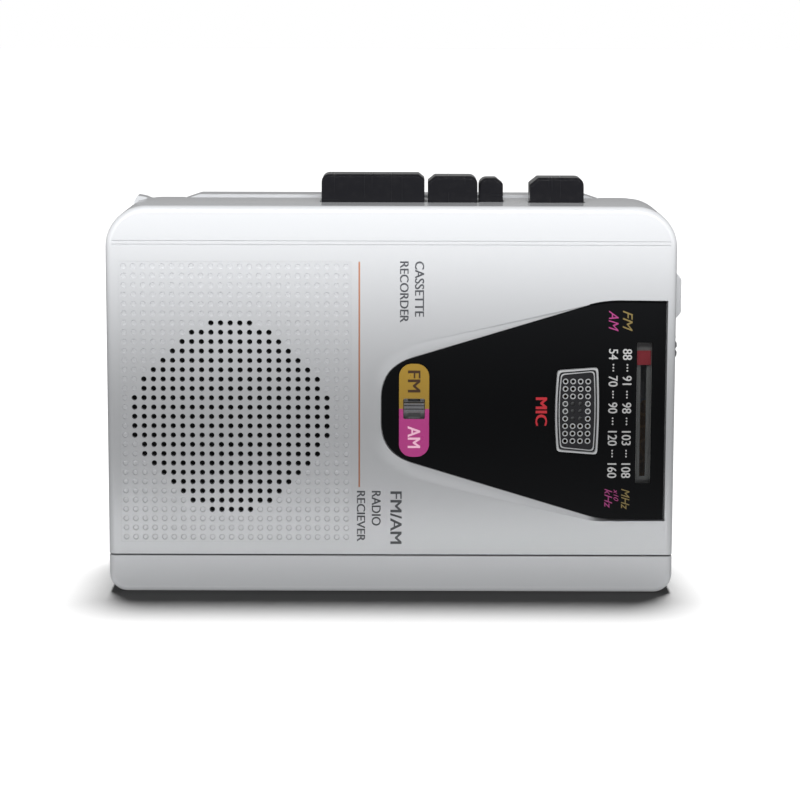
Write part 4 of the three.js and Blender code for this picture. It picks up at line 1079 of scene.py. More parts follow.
@dataclass
class GrillePanel:
    """The field of small round holes and dimples in front of the speaker.

    Attributes:
        columns: How many columns of squares it has.
        rows: How many rows.
        pitch: A square's width.
        row_pitch: A square's height.
        left: The panel's left.
        centre: The speaker's middle.
        middle_column: The column in front of it.
        middle_row: The row in front of it.
        reach: How many squares from the middle the holes go through.
        diagonal_reach: How many steps across and up they go at most.
        hole: A hole's radius.
        lip: The chamfer round it.
        depth: How deep a hole is.
        dimple_depth: How deep a dimple is.
        segments: How many sides they have.
        cloth_radius: The radius of the cloth behind.
    """

    columns: int = 24
    rows: int = 30
    pitch: float = 2.0
    row_pitch: float = 1.96
    left: float = -56.3
    centre: Point = (-33.3, 37.2)
    middle_column: int = 11
    middle_row: int = 13
    reach: float = 10.25
    diagonal_reach: int = 13
    hole: float = 0.56
    lip: float = 0.07
    depth: float = 1.5
    dimple_depth: float = 0.3
    segments: int = 12
    cloth_radius: float = 22.0

    @property
    def x(self) -> Span:
        """Return the panel's range along X."""
        return self.left, self.left + self.columns * self.pitch

    @property
    def z(self) -> Span:
        """Return the panel's range along Z."""
        bottom = self.centre[1] - (self.middle_row + 0.5) * self.row_pitch
        return bottom, bottom + self.rows * self.row_pitch

    def cell(self, is_open: bool) -> bpy.types.Mesh:
        """Return one square of the panel round a hole.

        Args:
            is_open: Whether the hole goes through, or is only a dimple.

        Returns:
            The square's mesh, its middle at the origin of X and Z.
        """
        bm = bmesh.new()
        flat = Matrix.Translation((0, FORM.face_y, 0)) @ Matrix.Rotation(math.pi / 2, 4, "X")
        bmesh.ops.create_grid(bm, x_segments=3, y_segments=3, size=self.pitch / 2, matrix=flat)
        bmesh.ops.scale(bm, vec=(1, 1, self.row_pitch / self.pitch), verts=bm.verts)
        inner = [v for v in bm.verts if not v.is_boundary]
        bmesh.ops.delete(bm, geom=inner, context="VERTS")
        square = bm.edges[:]
        steps = [(self.hole + self.lip, 0.0), (self.hole, self.lip)]
        steps += [(self.hole, self.depth)] if is_open else [(self.hole * 0.8, self.dimple_depth * 0.7)]
        loop = square
        for radius, down in steps:
            ring = bmesh.ops.create_circle(
                bm, segments=self.segments, radius=radius, matrix=Matrix.Translation((0, down, 0)) @ flat
            )
            ring_edges = list({e for v in ring["verts"] for e in v.link_edges})
            bmesh.ops.bridge_loops(bm, edges=[*loop, *ring_edges])
            loop = ring_edges
        if not is_open:
            cap = bmesh.ops.contextual_create(bm, geom=loop)["faces"]
            tip = bmesh.ops.poke(bm, faces=cap)["verts"]
            bmesh.ops.translate(bm, verts=tip, vec=(0, self.dimple_depth * 0.3, 0))
        mesh = bpy.data.meshes.new("grille_cell")
        bm.to_mesh(mesh)
        bm.free()
        return mesh

    def is_open(self, column: int, row: int) -> bool:
        """Return whether a hole goes through.

        Args:
            column: Its column.
            row: Its row.

        Returns:
            True inside the circle with its four flattened corners.
        """
        across, up = abs(column - self.middle_column), abs(row - self.middle_row)
        return math.hypot(across, up) < self.reach and across + up <= self.diagonal_reach

    def build(self) -> None:
        """Tile the squares, open in front of the speaker and dimpled round it."""
        panel = Workpiece()
        squares = {kind: self.cell(kind) for kind in (True, False)}
        for column in range(self.columns):
            for row in range(self.rows):
                x = self.left + (column + 0.5) * self.pitch
                z = self.z[0] + (row + 0.5) * self.row_pitch
                square = squares[self.is_open(column, row)]
                square.transform(Matrix.Translation((x, 0, z)))
                panel.bm.from_mesh(square)
                square.transform(Matrix.Translation((-x, 0, -z)))
        for square in squares.values():
            bpy.data.meshes.remove(square)
        bmesh.ops.remove_doubles(panel.bm, verts=panel.bm.verts, dist=0.005)
        bmesh.ops.recalc_face_normals(panel.bm, faces=panel.bm.faces)
        facing = sum(f.normal.y * f.calc_area() for f in panel.bm.faces)
        if facing > 0:
            bmesh.ops.reverse_faces(panel.bm, faces=panel.bm.faces)
        panel.finish("grille_panel", CASE, SILVER)
        behind = FORM.face_y + self.depth
        cloth = Workpiece.rod(Axis.Y, self.cloth_radius, (behind + 0.05, behind + 0.3), self.centre, 64)
        cloth.finish("speaker_cloth", CASE, CLOTH)


@dataclass
class WindowForm:
    """The outline that the black window and its recess share.

    Attributes:
        right: Its right end.
        width: Its width.
        height: Its height at the right.
        tip: Its height at the left.
        shoulder: How far from the right it starts to narrow.
        corner: The round at the left.
        middle: The height of its middle.
        sunk: How far the window is behind the face.
        thickness: Its thickness.
        bank_width: The widest the recess's bank gets.
        bank_end: Where the bank ends on the right.
        bank_taper: How quickly it narrows on the upper and on the lower side.
    """

    right: float = 57.0
    width: float = 59.0
    height: float = 46.0
    tip: float = 18.0
    shoulder: float = 13.0
    corner: float = 6.5
    middle: float = 38.5
    sunk: float = 0.9
    thickness: float = 0.8
    bank_width: float = 3.3
    bank_end: float = 45.0
    bank_taper: tuple[float, float] = (1.3, 0.65)

    def outline(self, grow: float = 0.0) -> list[Point]:
        """Return the blunt wedge, anticlockwise.

        Args:
            grow: How far it is let out.

        Returns:
            The outline.
        """
        right, left = self.right + grow, self.right - self.width - grow
        tall, tip = self.height / 2 + grow, self.tip / 2 + grow
        shoulder = right - self.shoulder
        slope = (tall - tip) / (shoulder - left)
        c = self.corner
        upper = [
            (right, tall),
            *bend((shoulder + 3, tall), (shoulder, tall), (shoulder - 3, tall - 3 * slope), 4),
            *bend((left + c, tip + c * slope), (left, tip), (left, tip - c), 10),
        ]
        lower = [(x, -z) for x, z in reversed(upper)]
        return [(x, z + self.middle) for x, z in [*upper, *lower]]

    def bank(self, x: float, rising: float) -> float:
        """Return how wide the recess's bank is.

        Args:
            x: Where, along X.
            rising: Above 0 on the upper side, below 0 on the lower.

        Returns:
            The width, which tapers off towards the right.
        """
        left = self.right - self.width
        share = max(0.0, (self.bank_end - x) / (self.bank_end - left))
        taper = self.bank_taper[0] if rising > 0 else self.bank_taper[1]
        return self.bank_width * min(1.0, share) ** taper + 0.12

    def recess(self) -> Workpiece:
        """Return the tool that cuts the recess, with banks that slope down to the window."""
        bed = self.outline(0.12)
        brim = []
        for i, (x, z) in enumerate(bed):
            run = (Vector(bed[(i + 1) % len(bed)]) - Vector(bed[i - 1])).normalized()
            width = self.bank(x, z - self.middle)
            brim.append((min(x + run.y * width, self.right + 0.4), z - run.x * width))
        floor = FORM.face_y + self.sunk + self.thickness + 0.1
        lip = FORM.face_y + self.sunk - 0.05
        return Workpiece.lofted([(brim, FORM.face_y - 0.2), (brim, FORM.face_y), (bed, lip), (bed, floor)])


WINDOW = WindowForm()
THROUGH_LENS: Span = (-20, -16)


@dataclass(frozen=True)
class KeyShape:
    """A key's CAD node, its body, and the chamfers of its left and right top corners, or 0 for a round."""

    node: str
    body: str
    left: float
    right: float


KEYS = (
    KeyShape("play_key", "play_button", 0.0, 1.2),
    KeyShape("fast_forward_key", "fast_forward_button", 1.45, 0.0),
    KeyShape("record_key", "record_button", 0.0, 1.5),
    KeyShape("stop_eject_key", "stop_eject_button", 1.75, 0.0),
)


@dataclass
class FrontShell:
    """The front half of the case.

    Attributes:
        groove_apart: How far each of the two groove lines is from their middle.
        groove_half: Half a groove line's height.
        groove_depth: Its depth.
        groove_end: How far it stops from the sides.
        top_band: The height of the band above the grooves.
        band_lean: How far the band leans back for each millimetre up.
        lean_start: How far above the grooves the lean starts.
        lean_depth: How far behind the face the lean reaches.
        bay_wall: The battery bay's wall.
        bay_top: The inner height of its top.
        bay_play: How far the bay is longer than its contacts, at each end.
        wheel_width: The thickness of the thumbwheels.
        knob_way: How far the slide switch's slot reaches below and above the knob's middle.
    """

    groove_apart: float = 0.38
    groove_half: float = 0.13
    groove_depth: float = 0.18
    groove_end: float = 1.5
    top_band: float = 7.6
    band_lean: float = 0.1
    lean_start: float = 0.5
    lean_depth: float = 1.6
    bay_wall: float = 1.1
    bay_top: float = 16.7
    bay_play: float = 0.2
    wheel_width: float = 2.6
    knob_way: Span = (4.9, 1.9)

    def build(self, grille: GrillePanel) -> None:
        """Make the shell round the grille panel.

        Args:
            grille: The panel that fills the shell's opening.
        """
        form = FORM
        shell = form.body((form.face_y, form.split_y))
        hollow = Workpiece.prism(form.outline(form.wall), (form.face_y + form.face_wall, form.split_y + 1))
        shell.cut(hollow)
        shell.cut(Workpiece.block(grille.x, form.through_face, grille.z))
        shell.cut(WINDOW.recess())
        shell.cut(Workpiece.prism(WINDOW.outline(-1.2), form.through_face))
        groove_z = form.height - self.top_band
        shell.cut(*self._grooves(groove_z), *self._openings())
        self._lean_top_band(shell, groove_z + self.lean_start)
        shell.finish("front_shell", CASE, SILVER, replaces=["front_case"], edge=0.12)
        self._battery_bay()

    def _grooves(self, height: float) -> list[Workpiece]:
        """Return the tools for the two lines under the top band.

        Args:
            height: The height midway between them.

        Returns:
            The two tools.
        """
        x = (-FORM.side + self.groove_end, FORM.side - self.groove_end)
        y = (FORM.face_y - 1, FORM.face_y + self.groove_depth)
        middles = (height - self.groove_apart, height + self.groove_apart)
        return [Workpiece.block(x, y, (z - self.groove_half, z + self.groove_half)) for z in middles]

    def _openings(self) -> list[Workpiece]:
        """Return the tools for the keys, the side controls, the jacks and the battery cover."""
        form = FORM
        keys = [self._key_opening(shape.node) for shape in KEYS]
        wheels = [self._wheel_opening(wheel) for wheel in ("tuning_wheel", "volume_wheel")]
        low, high = node_box("function_switch_knob")
        middle = (low.z + high.z) / 2
        slot = (middle - self.knob_way[0], middle + self.knob_way[1])
        knob = Workpiece.block(form.through_side, (low.y + 1, high.y - 1), slot)
        jacks = [self._jack_opening(jack) for jack in ("headphone_jack", "power_jack")]
        low, high = node_box("battery_cover")
        below = (-1.0, high.z + form.gap)
        cover = Workpiece.block((-form.width, form.width), (form.face_y - 1, high.y + form.gap), below)
        return [*keys, *wheels, knob, *jacks, cover]

    def _key_opening(self, node: str) -> Workpiece:
        """Return the tool for a key's opening in the top.

        Args:
            node: The key's CAD node.

        Returns:
            The tool.
        """
        low, high = node_box(node)
        gap, flange = FORM.gap, FORM.key_flange
        x, y = (low.x - gap, high.x + gap), (low.y + flange - gap, high.y - flange + gap)
        return Workpiece.block(x, y, (FORM.height - 4, FORM.height + 2))

    def _wheel_opening(self, node: str) -> Workpiece:
        """Return the tool for a thumbwheel's opening, as long as its chord through the wall.

        Args:
            node: The wheel's CAD node.

        Returns:
            The tool.
        """
        low, high = node_box(node)
        middle, radius = (low.z + high.z) / 2, (high.z - low.z) / 2
        inside = FORM.side - FORM.wall - (high.x - radius)
        chord = math.sqrt(radius**2 - inside**2) + FORM.gap
        y = (high.y - self.wheel_width - FORM.gap, high.y + FORM.gap)
        return Workpiece.block(FORM.through_side, y, (middle - chord, middle + chord))

    def _jack_opening(self, node: str) -> Workpiece:
        """Return the tool for a jack's round opening in the left side.

        Args:
            node: The jack's CAD node.

        Returns:
            The tool.
        """
        low, high = node_box(node)
        centre = ((low.y + high.y) / 2, (low.z + high.z) / 2)
        radius = (high.z - low.z) / 2 + FORM.gap
        return Workpiece.rod(Axis.X, radius, (-FORM.side - 1, -FORM.side + FORM.wall + 1), centre, 32)

    def _lean_top_band(self, shell: Workpiece, start: float) -> None:
        """Lean the band above the groove back a little.

        Args:
            shell: The shell.
            start: The height the lean starts at.
        """
        for vert in shell.bm.verts:
            if vert.co.z > start and vert.co.y < FORM.face_y + self.lean_depth:
                vert.co.y += (vert.co.z - start) * self.band_lean

    def _battery_bay(self) -> None:
        """Make the walls of the battery bay as one moulding inside the shell."""
        cover_back = node_box("battery_cover")[1].y
        left = node_box("battery_spring")[0].x - self.bay_play
        right = node_box("battery_contact")[1].x + self.bay_play
        front, back = FORM.face_y + FORM.face_wall + 0.02, cover_back + FORM.gap
        thick = self.bay_wall
        z = (FORM.wall, self.bay_top + thick)
        bay = Workpiece.block((left - thick, right + thick), (front, back + thick), z)
        bay.cut(Workpiece.block((left, right), (front - 1, back), (0, self.bay_top)))
        bay.finish("battery_bay", CASE, SILVER, edge=0.1)


@dataclass
class RearShell:
    """The rear half of the case and the battery cover."""

    def build(self) -> None:
        """Refine the rear half's solid, and cut the cover out of the case's rounded form."""
        Workpiece.of_node("back_case").finish("rear_shell", CASE, SILVER, replaces=["back_case"], edge=0.15)
        form = FORM
        high = node_box("battery_cover")[1]
        cover = form.body((form.face_y, form.split_y))
        cover.cut(Workpiece.prism(form.outline(form.wall), (form.face_y + form.wall, form.split_y + 1)))
        cover.keep(Workpiece.block((-form.width, form.width), (form.face_y - 1, high.y), (-1, high.z)))
        cover.finish("battery_lid", "battery_hatch", SILVER, replaces=["battery_cover"], edge=0.2)


@dataclass
class Keys:
    """The four piano keys on top.

    Attributes:
        shapes: The keys.
        corner: The radius of the round top corners.
        base: The height of the keys' undersides.
        flange: The thickness of the flange round each foot.
        front_round: The round along the front and back edges.
        post_radius: The radius of the post inside each spring.
        post_y: The post's Y.
    """

    shapes: tuple[KeyShape, ...] = KEYS
    corner: float = 1.6
    base: float = 77.5
    flange: float = 1.1
    front_round: float = 0.7
    post_radius: float = 0.7
    post_y: float = -5.4

    def build(self) -> None:
        """Make each key with its own corners."""
        for shape in self.shapes:
            self._key(shape)

    def _key(self, shape: KeyShape) -> None:
        """Make one key: its cap, the flange round its foot and the post inside its spring.

        Args:
            shape: The key.
        """
        low, high = node_box(shape.node)
        y = (low.y + FORM.key_flange, high.y - FORM.key_flange)
        base = self.base
        outline = [
            (low.x, base),
            (high.x, base),
            *self._corner(high.x, high.z, shape.right, 1),
            *reversed(self._corner(low.x, high.z, shape.left, -1)),
        ]
        cap = Workpiece.prism(outline, y)
        front = self.front_round
        cap.bevel(lambda e: all(abs(v.co.y - y[0]) < 1e-3 and v.co.z > base + 1 for v in e.verts), front, 4)
        flange = Workpiece.block((low.x, high.x), (low.y, high.y), (base, base + self.flange))
        centre = ((low.x + high.x) / 2, self.post_y)
        post = Workpiece.rod(Axis.Z, self.post_radius, (low.z, base + 0.1), centre, 16)
        cap.add(flange, post)
        cap.finish(shape.node + "_cap", shape.body, BLACK_KEY, replaces=[shape.node], edge=0.15)

    def _corner(self, x: float, z: float, chamfer: float, side: int) -> list[Point]:
        """Return a top corner's points from its side to its top.

        Args:
            x: The corner's X.
            z: The corner's Z.
            chamfer: The width of its chamfer, or 0 for a round.
            side: 1 on the right, -1 on the left.

        Returns:
            The points.
        """
        if chamfer:
            return [(x, z - chamfer * 0.8), (x - side * chamfer, z)]
        r = self.corner
        start = 0 if side > 0 else 180
        return arc((x - side * r, z - r), r, start, 90, 6)


@dataclass
class Face:
    """The black window with its controls, and the printing on the speaker face.

    Attributes:
        lens_y: The window's front and back.
        switch_x: The middle of the band switch.
        slot_half: Half the width of its slot.
        slot_z: The slot's bottom and top.
        plate_corner: The radius of the two-colour plate's corners.
        ribs: How many ribs the knob has.
        mic: The middle of the microphone's rings.
        mic_pitch: How far apart they are.
        mic_grid: Their columns and rows.
        mic_hole: The radius of the hole in each ring.
    """

    lens_y: Span = (-18.1, -17.3)
    switch_x: float = 4.8
    slot_half: float = 2.25
    slot_z: Span = (36.7, 41.0)
    plate_corner: float = 2.7
    ribs: int = 3
    mic: Point = (38.6, 38.45)
    mic_pitch: float = 1.565
    mic_grid: tuple[int, int] = (4, 9)
    mic_hole: float = 0.42

    @property
    def slot_x(self) -> Span:
        """Return the range of the band switch's slot along X."""
        return self.switch_x - self.slot_half, self.switch_x + self.slot_half

    def build(self) -> None:
        """Make the window, the band switch, the microphone grille, the dial and the words."""
        self._lens()
        self._switch_plate()
        self._switch_knob()
        self._bezel()
        self._rings()
        self._words()

    def _lens(self) -> None:
        """Make the black window with its slots."""
        lens = Workpiece.prism(WINDOW.outline(-0.02), self.lens_y)
        slot = Workpiece.block(self.slot_x, THROUGH_LENS, self.slot_z)
        low, high = node_box("dial_pane")
        dial = Workpiece.block((low.x - 0.1, high.x + 0.1), THROUGH_LENS, (low.z - 0.1, high.z + 0.1))
        low, high = node_box("mic_grille")
        mic = Workpiece.block((low.x + 1.2, high.x - 1.2), THROUGH_LENS, (low.z + 1.2, high.z - 1.2))
        lens.cut(slot, dial, mic)
        lens.finish("window_lens", CASE, LENS, replaces=["dial_window"], edge=0.1)

    def _switch_plate(self) -> None:
        """Make the two-colour plate with the knob's slot."""
        low, high = node_box("band_plate")
        outline = rounded_box((low.x, high.x), (low.z, high.z), (self.plate_corner,) * 4)
        plate = Workpiece.prism(outline, (low.y, high.y))
        plate.bevel(lambda e: all(abs(v.co.y - low.y) < 1e-3 for v in e.verts), 0.12, 3)
        slot = rounded_box(self.slot_x, self.slot_z, (0.3,) * 4, 3)
        plate.cut(Workpiece.prism(slot, THROUGH_LENS))
        plate.finish("switch_plate", CASE, BAND, replaces=["band_plate"])

    def _switch_knob(self) -> None:
        """Make the ribbed knob and its stem."""
        low, high = node_box("band_switch_knob")
        knob = Workpiece.block((low.x, high.x), (low.y + 0.5, low.y + 2.4), (low.z, high.z))
        pitch = (high.z - low.z) / self.ribs
        foot, crest = low.y + 0.6, low.y
        for i in range(self.ribs):
            z = low.z + (i + 0.5) * pitch
            steps = ((foot, -0.46), (crest, -0.15), (crest, 0.15), (foot, 0.46))
            knob.add(Workpiece.prism([(y, z + share * pitch) for y, share in steps], (low.x, high.x), Axis.X))
        middle = (low.z + high.z) / 2
        stem_x = (self.switch_x - 1, self.switch_x + 1)
        knob.add(Workpiece.block(stem_x, (low.y + 2.3, high.y), (middle - 0.9, middle + 0.9)))
        knob.finish("switch_knob", "band_slider", CHROME, replaces=["band_switch_knob"], edge=0.06)

    @staticmethod
    def _bezel_outline(inset: float) -> list[Point]:
        """Return the microphone bezel's outline with its bowed sides and soft corners.

        Args:
            inset: How far it is taken in.

        Returns:
            The outline, anticlockwise.
        """
        low, high = node_box("mic_grille")
        a, b, turn = (high.x - low.x) / 2 - inset, (high.z - low.z) / 2 - inset, 0.7
        right = bend((a - 0.25, turn - b), (a + 0.25, 0), (a - 0.25, b - turn), 10)
        left = bend((0.35 - a, b - turn - 0.6), (-a - 0.35, 0), (0.35 - a, turn + 0.6 - b), 10)
        upper = bend((a - 0.25, b - turn), (a - 0.3, b), (a - turn - 0.3, b - 0.03), 3)
        far_upper = bend((turn + 0.4 - a, b - 0.55), (0.4 - a, b - 0.6), (0.35 - a, b - turn - 0.6), 3)
        above = [*upper[1:], *far_upper[:-1]]
        below = [(x, -z) for x, z in reversed(above)]
        middle = ((low.x + high.x) / 2, (low.z + high.z) / 2)
        return [(middle[0] + x, middle[1] + z) for x, z in [*right, *above, *left, *below]]

    def _bezel(self) -> None:
        """Make the microphone's double bezel."""
        front = node_box("mic_grille")[0].y
        outer = ((0, 0.85), (0.05, 0.12), (0.22, 0), (0.4, 0.06), (0.5, 0.6))
        inner = ((0.72, 0.75), (0.76, 0.32), (0.86, 0.25), (0.96, 0.32), (1.0, 0.75))
        bezel, second = (
            [(self._bezel_outline(inset), front + back) for inset, back in steps] for steps in (outer, inner)
        )
        piece = Workpiece.lofted(bezel, closed=True).add(Workpiece.lofted(second, closed=True))
        piece.finish("mic_bezel", CASE, SATIN_CHROME, replaces=["mic_grille"])

    def _rings(self) -> None:
        """Make the plate inside the bezel with its holes, and a small ring round most of them."""
        front = node_box("mic_grille")[0].y
        plate = Workpiece.prism(self._bezel_outline(0.3), (front + 0.5, front + 0.8))
        section = ((0.36, 0.55), (0.38, 0.36), (0.48, 0.3), (0.58, 0.36), (0.62, 0.55))
        profile = [(radius, front + back) for radius, back in section]
        columns, rows = self.mic_grid
        rims, holes = Workpiece(), Workpiece()
        for column in range(columns):
            for row in range(rows):
                x = self.mic[0] + (column - (columns - 1) / 2) * self.mic_pitch
                z = self.mic[1] + (row - (rows - 1) / 2) * self.mic_pitch
                if column in (0, columns - 1) or abs(row - rows // 2) > 1:
                    rims.add(Workpiece.turned(profile, (x, z), 16))
                holes.add(Workpiece.rod(Axis.Y, self.mic_hole, (front, front + 2), (x, z), 16))
        plate.cut(holes)
        plate.finish("mic_plate", CASE, DARK_METAL)
        rims.finish("mic_rims", CASE, SATIN_CHROME)

    def _words(self) -> None:
        """Print the words, the scales and the orange line."""
        face, lens, pill = FORM.face_y, self.lens_y[0], node_box("band_plate")[0].y
        scale_z = (24.3, 51.5)
        on_face = [
            Label("word_cassette", "CASSETTE", (4.9, 6.8), (58.2, 69.7), GREY_INK, weight=0.045),
            Label("word_recorder", "RECORDER", (1.8, 3.6), (57.0, 69.7), GREY_INK, weight=0.045),
            Label("word_fm_am", "FM/AM", (-0.1, 2.3), (10.3, 21.5), GREY_INK, weight=0.045),
            Label("word_radio", "RADIO", (-4.0, -2.1), (14.2, 21.6), GREY_INK, weight=0.045),
            Label("word_receiver", "RECIEVER", (-7.1, -5.35), (10.8, 21.6), GREY_INK, weight=0.045),
        ]
        on_lens = [
            Label("word_mic", "MIC", (30.1, 32.5), (35.3, 41.3), RED_INK, weight=0.06),
            Label("scale_fm", scale(88, 91, 98, 103, 108), (48.1, 50.0), scale_z, PALE_INK, weight=0.03),
            Label("scale_am", scale(54, 70, 90, 120, 160), (45.2, 47.1), scale_z, PALE_INK, weight=0.03),
            Label("word_fm", "FM", (48.0, 50.0), (55.2, 59.5), GOLD_INK, 0.35),
            Label("word_am", "AM", (45.1, 47.1), (55.2, 59.5), MAGENTA_INK, 0.35),
            Label("word_mhz", "MHz", (48.2, 49.9), (17.6, 22.0), GOLD_INK, 0.35),
            Label("word_khz", "kHz", (44.7, 46.3), (17.9, 22.0), MAGENTA_INK, 0.35),
            Label("word_times_ten", "x10", (46.6, 47.6), (19.4, 21.9), MAGENTA_INK, 0.35),
        ]
        on_pill = [
            Label("pill_fm", "FM", (3.5, 6.1), (42.3, 46.9), BROWN_INK, weight=0.04),
            Label("pill_am", "AM", (3.5, 6.1), (30.6, 35.2), PINK_INK, weight=0.04),
        ]
        for labels, y in ((on_face, face), (on_lens, lens), (on_pill, pill)):
            for label in labels:
                label.print_on(y)
        line = Workpiece.block((-6.75, -6.42), (face - 0.03, face + 0.1), (22.4, 69.6))
        line.finish("orange_line", CASE, ORANGE_INK)


@dataclass
class Door:
    """The cassette door behind."""

    def build(self) -> None:
        """Refine the door's solid with rounded edges."""
        pieces = [("cassette_door", "tape_door", SILVER, 0.15), ("door_window", "door_pane", CLEAR, 0.1)]
        for node, name, coat, edge in pieces:
            Workpiece.of_node(node).finish(name, "door", coat, replaces=[node], edge=edge)


@dataclass
class Controls:
    """The wheels, the slide switch, the dial's pointer and the jacks."""

    def build(self) -> None:
        """Refine their solids."""
        pieces = [
            ("tuning_wheel", "tuning_knob", GREY_WHEEL, 0.12),
            ("volume_wheel", "volume_knob", GREY_WHEEL, 0.12),
            ("function_switch_knob", "function_slider", SILVER, 0.25),
            ("dial_pointer", "dial", RED_POINTER, 0.05),
            ("dial_backing", CASE, GREY_STRIP, 0.0),
            ("headphone_jack", CASE, BLACK_KEY, 0.15),
            ("power_jack", CASE, BLACK_KEY, 0.15),
        ]
        for node, body, coat, edge in pieces:
            Workpiece.of_node(node).finish("fine_" + node, body, coat, replaces=[node], edge=edge)
        Workpiece.of_node("dial_pane").finish("fine_dial_pane", CASE, SMOKED, replaces=["dial_pane"])


@dataclass
class KeySprings:
    """The coil springs under the keys, which shorten as the keys go down."""

    coat: Finish = SPRING

    def build(self) -> None:
        """Make each spring that a key's joint lists as deforming."""
        for joint in frame["record"]["behaviour"]["joints"]:
            for spring in joint.get("deforming_nodes", []):
                self._coil(spring["node"])

    def _coil(self, node: str) -> None:
        """Make one spring.

        Args:
            node: The spring's CAD node.
        """
        coil = Workpiece.of_node(node).finish("fine_" + node, CASE, self.coat, replaces=[node], edge=0)
        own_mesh(coil)


@dataclass
class Works:
    """The mechanism, the radio and the speaker, whose CAD solids stay and get their finishes."""

    coats: dict[str, Finish] = field(
        default_factory=lambda: {
            "steel_plate": STEEL,
            "spring_wire": SPRING,
            "brass_turned": BRASS,
            "black_magnet": MAGNET,
            "paper_cone": PAPER,
            "black_rubber": RUBBER,
            "cream_nylon": NYLON,
            "board_laminate": BOARD,
            "ferrite": FERRITE,
            "copper_winding": COPPER,
            "chrome_trim": CHROME,
            "black_key": BLACK_KEY,
        }
    )

    def build(self) -> None:
        """Dress every CAD node that is still shown."""
        for part in frame["record"]["subparts"]:
            node = frame["nodes"][part["node"]]
            if node.hide_render:
                continue
            coat = self.coats[part["material_slot"]]
            if not node.material_slots:
                node.data.materials.append(coat.material())
            for material_slot in node.material_slots:
                material_slot.material = coat.material()
            LOG.info("%s wears %s", part["node"], coat.name)


@dataclass(frozen=True)
class Sun:
    """A distant light: where it shines from, its spread in degrees, and its strength."""

    name: str
    place: tuple[float, float, float]
    spread: float
    strength: float
    only_floor: bool = False


@dataclass(frozen=True)
class Panel:
    """A soft panel light: its place, tilt, size, spread and power."""

    name: str
    place: tuple[float, float, float]
    tilt: float
    size: tuple[float, float]
    spread: float
    power: float


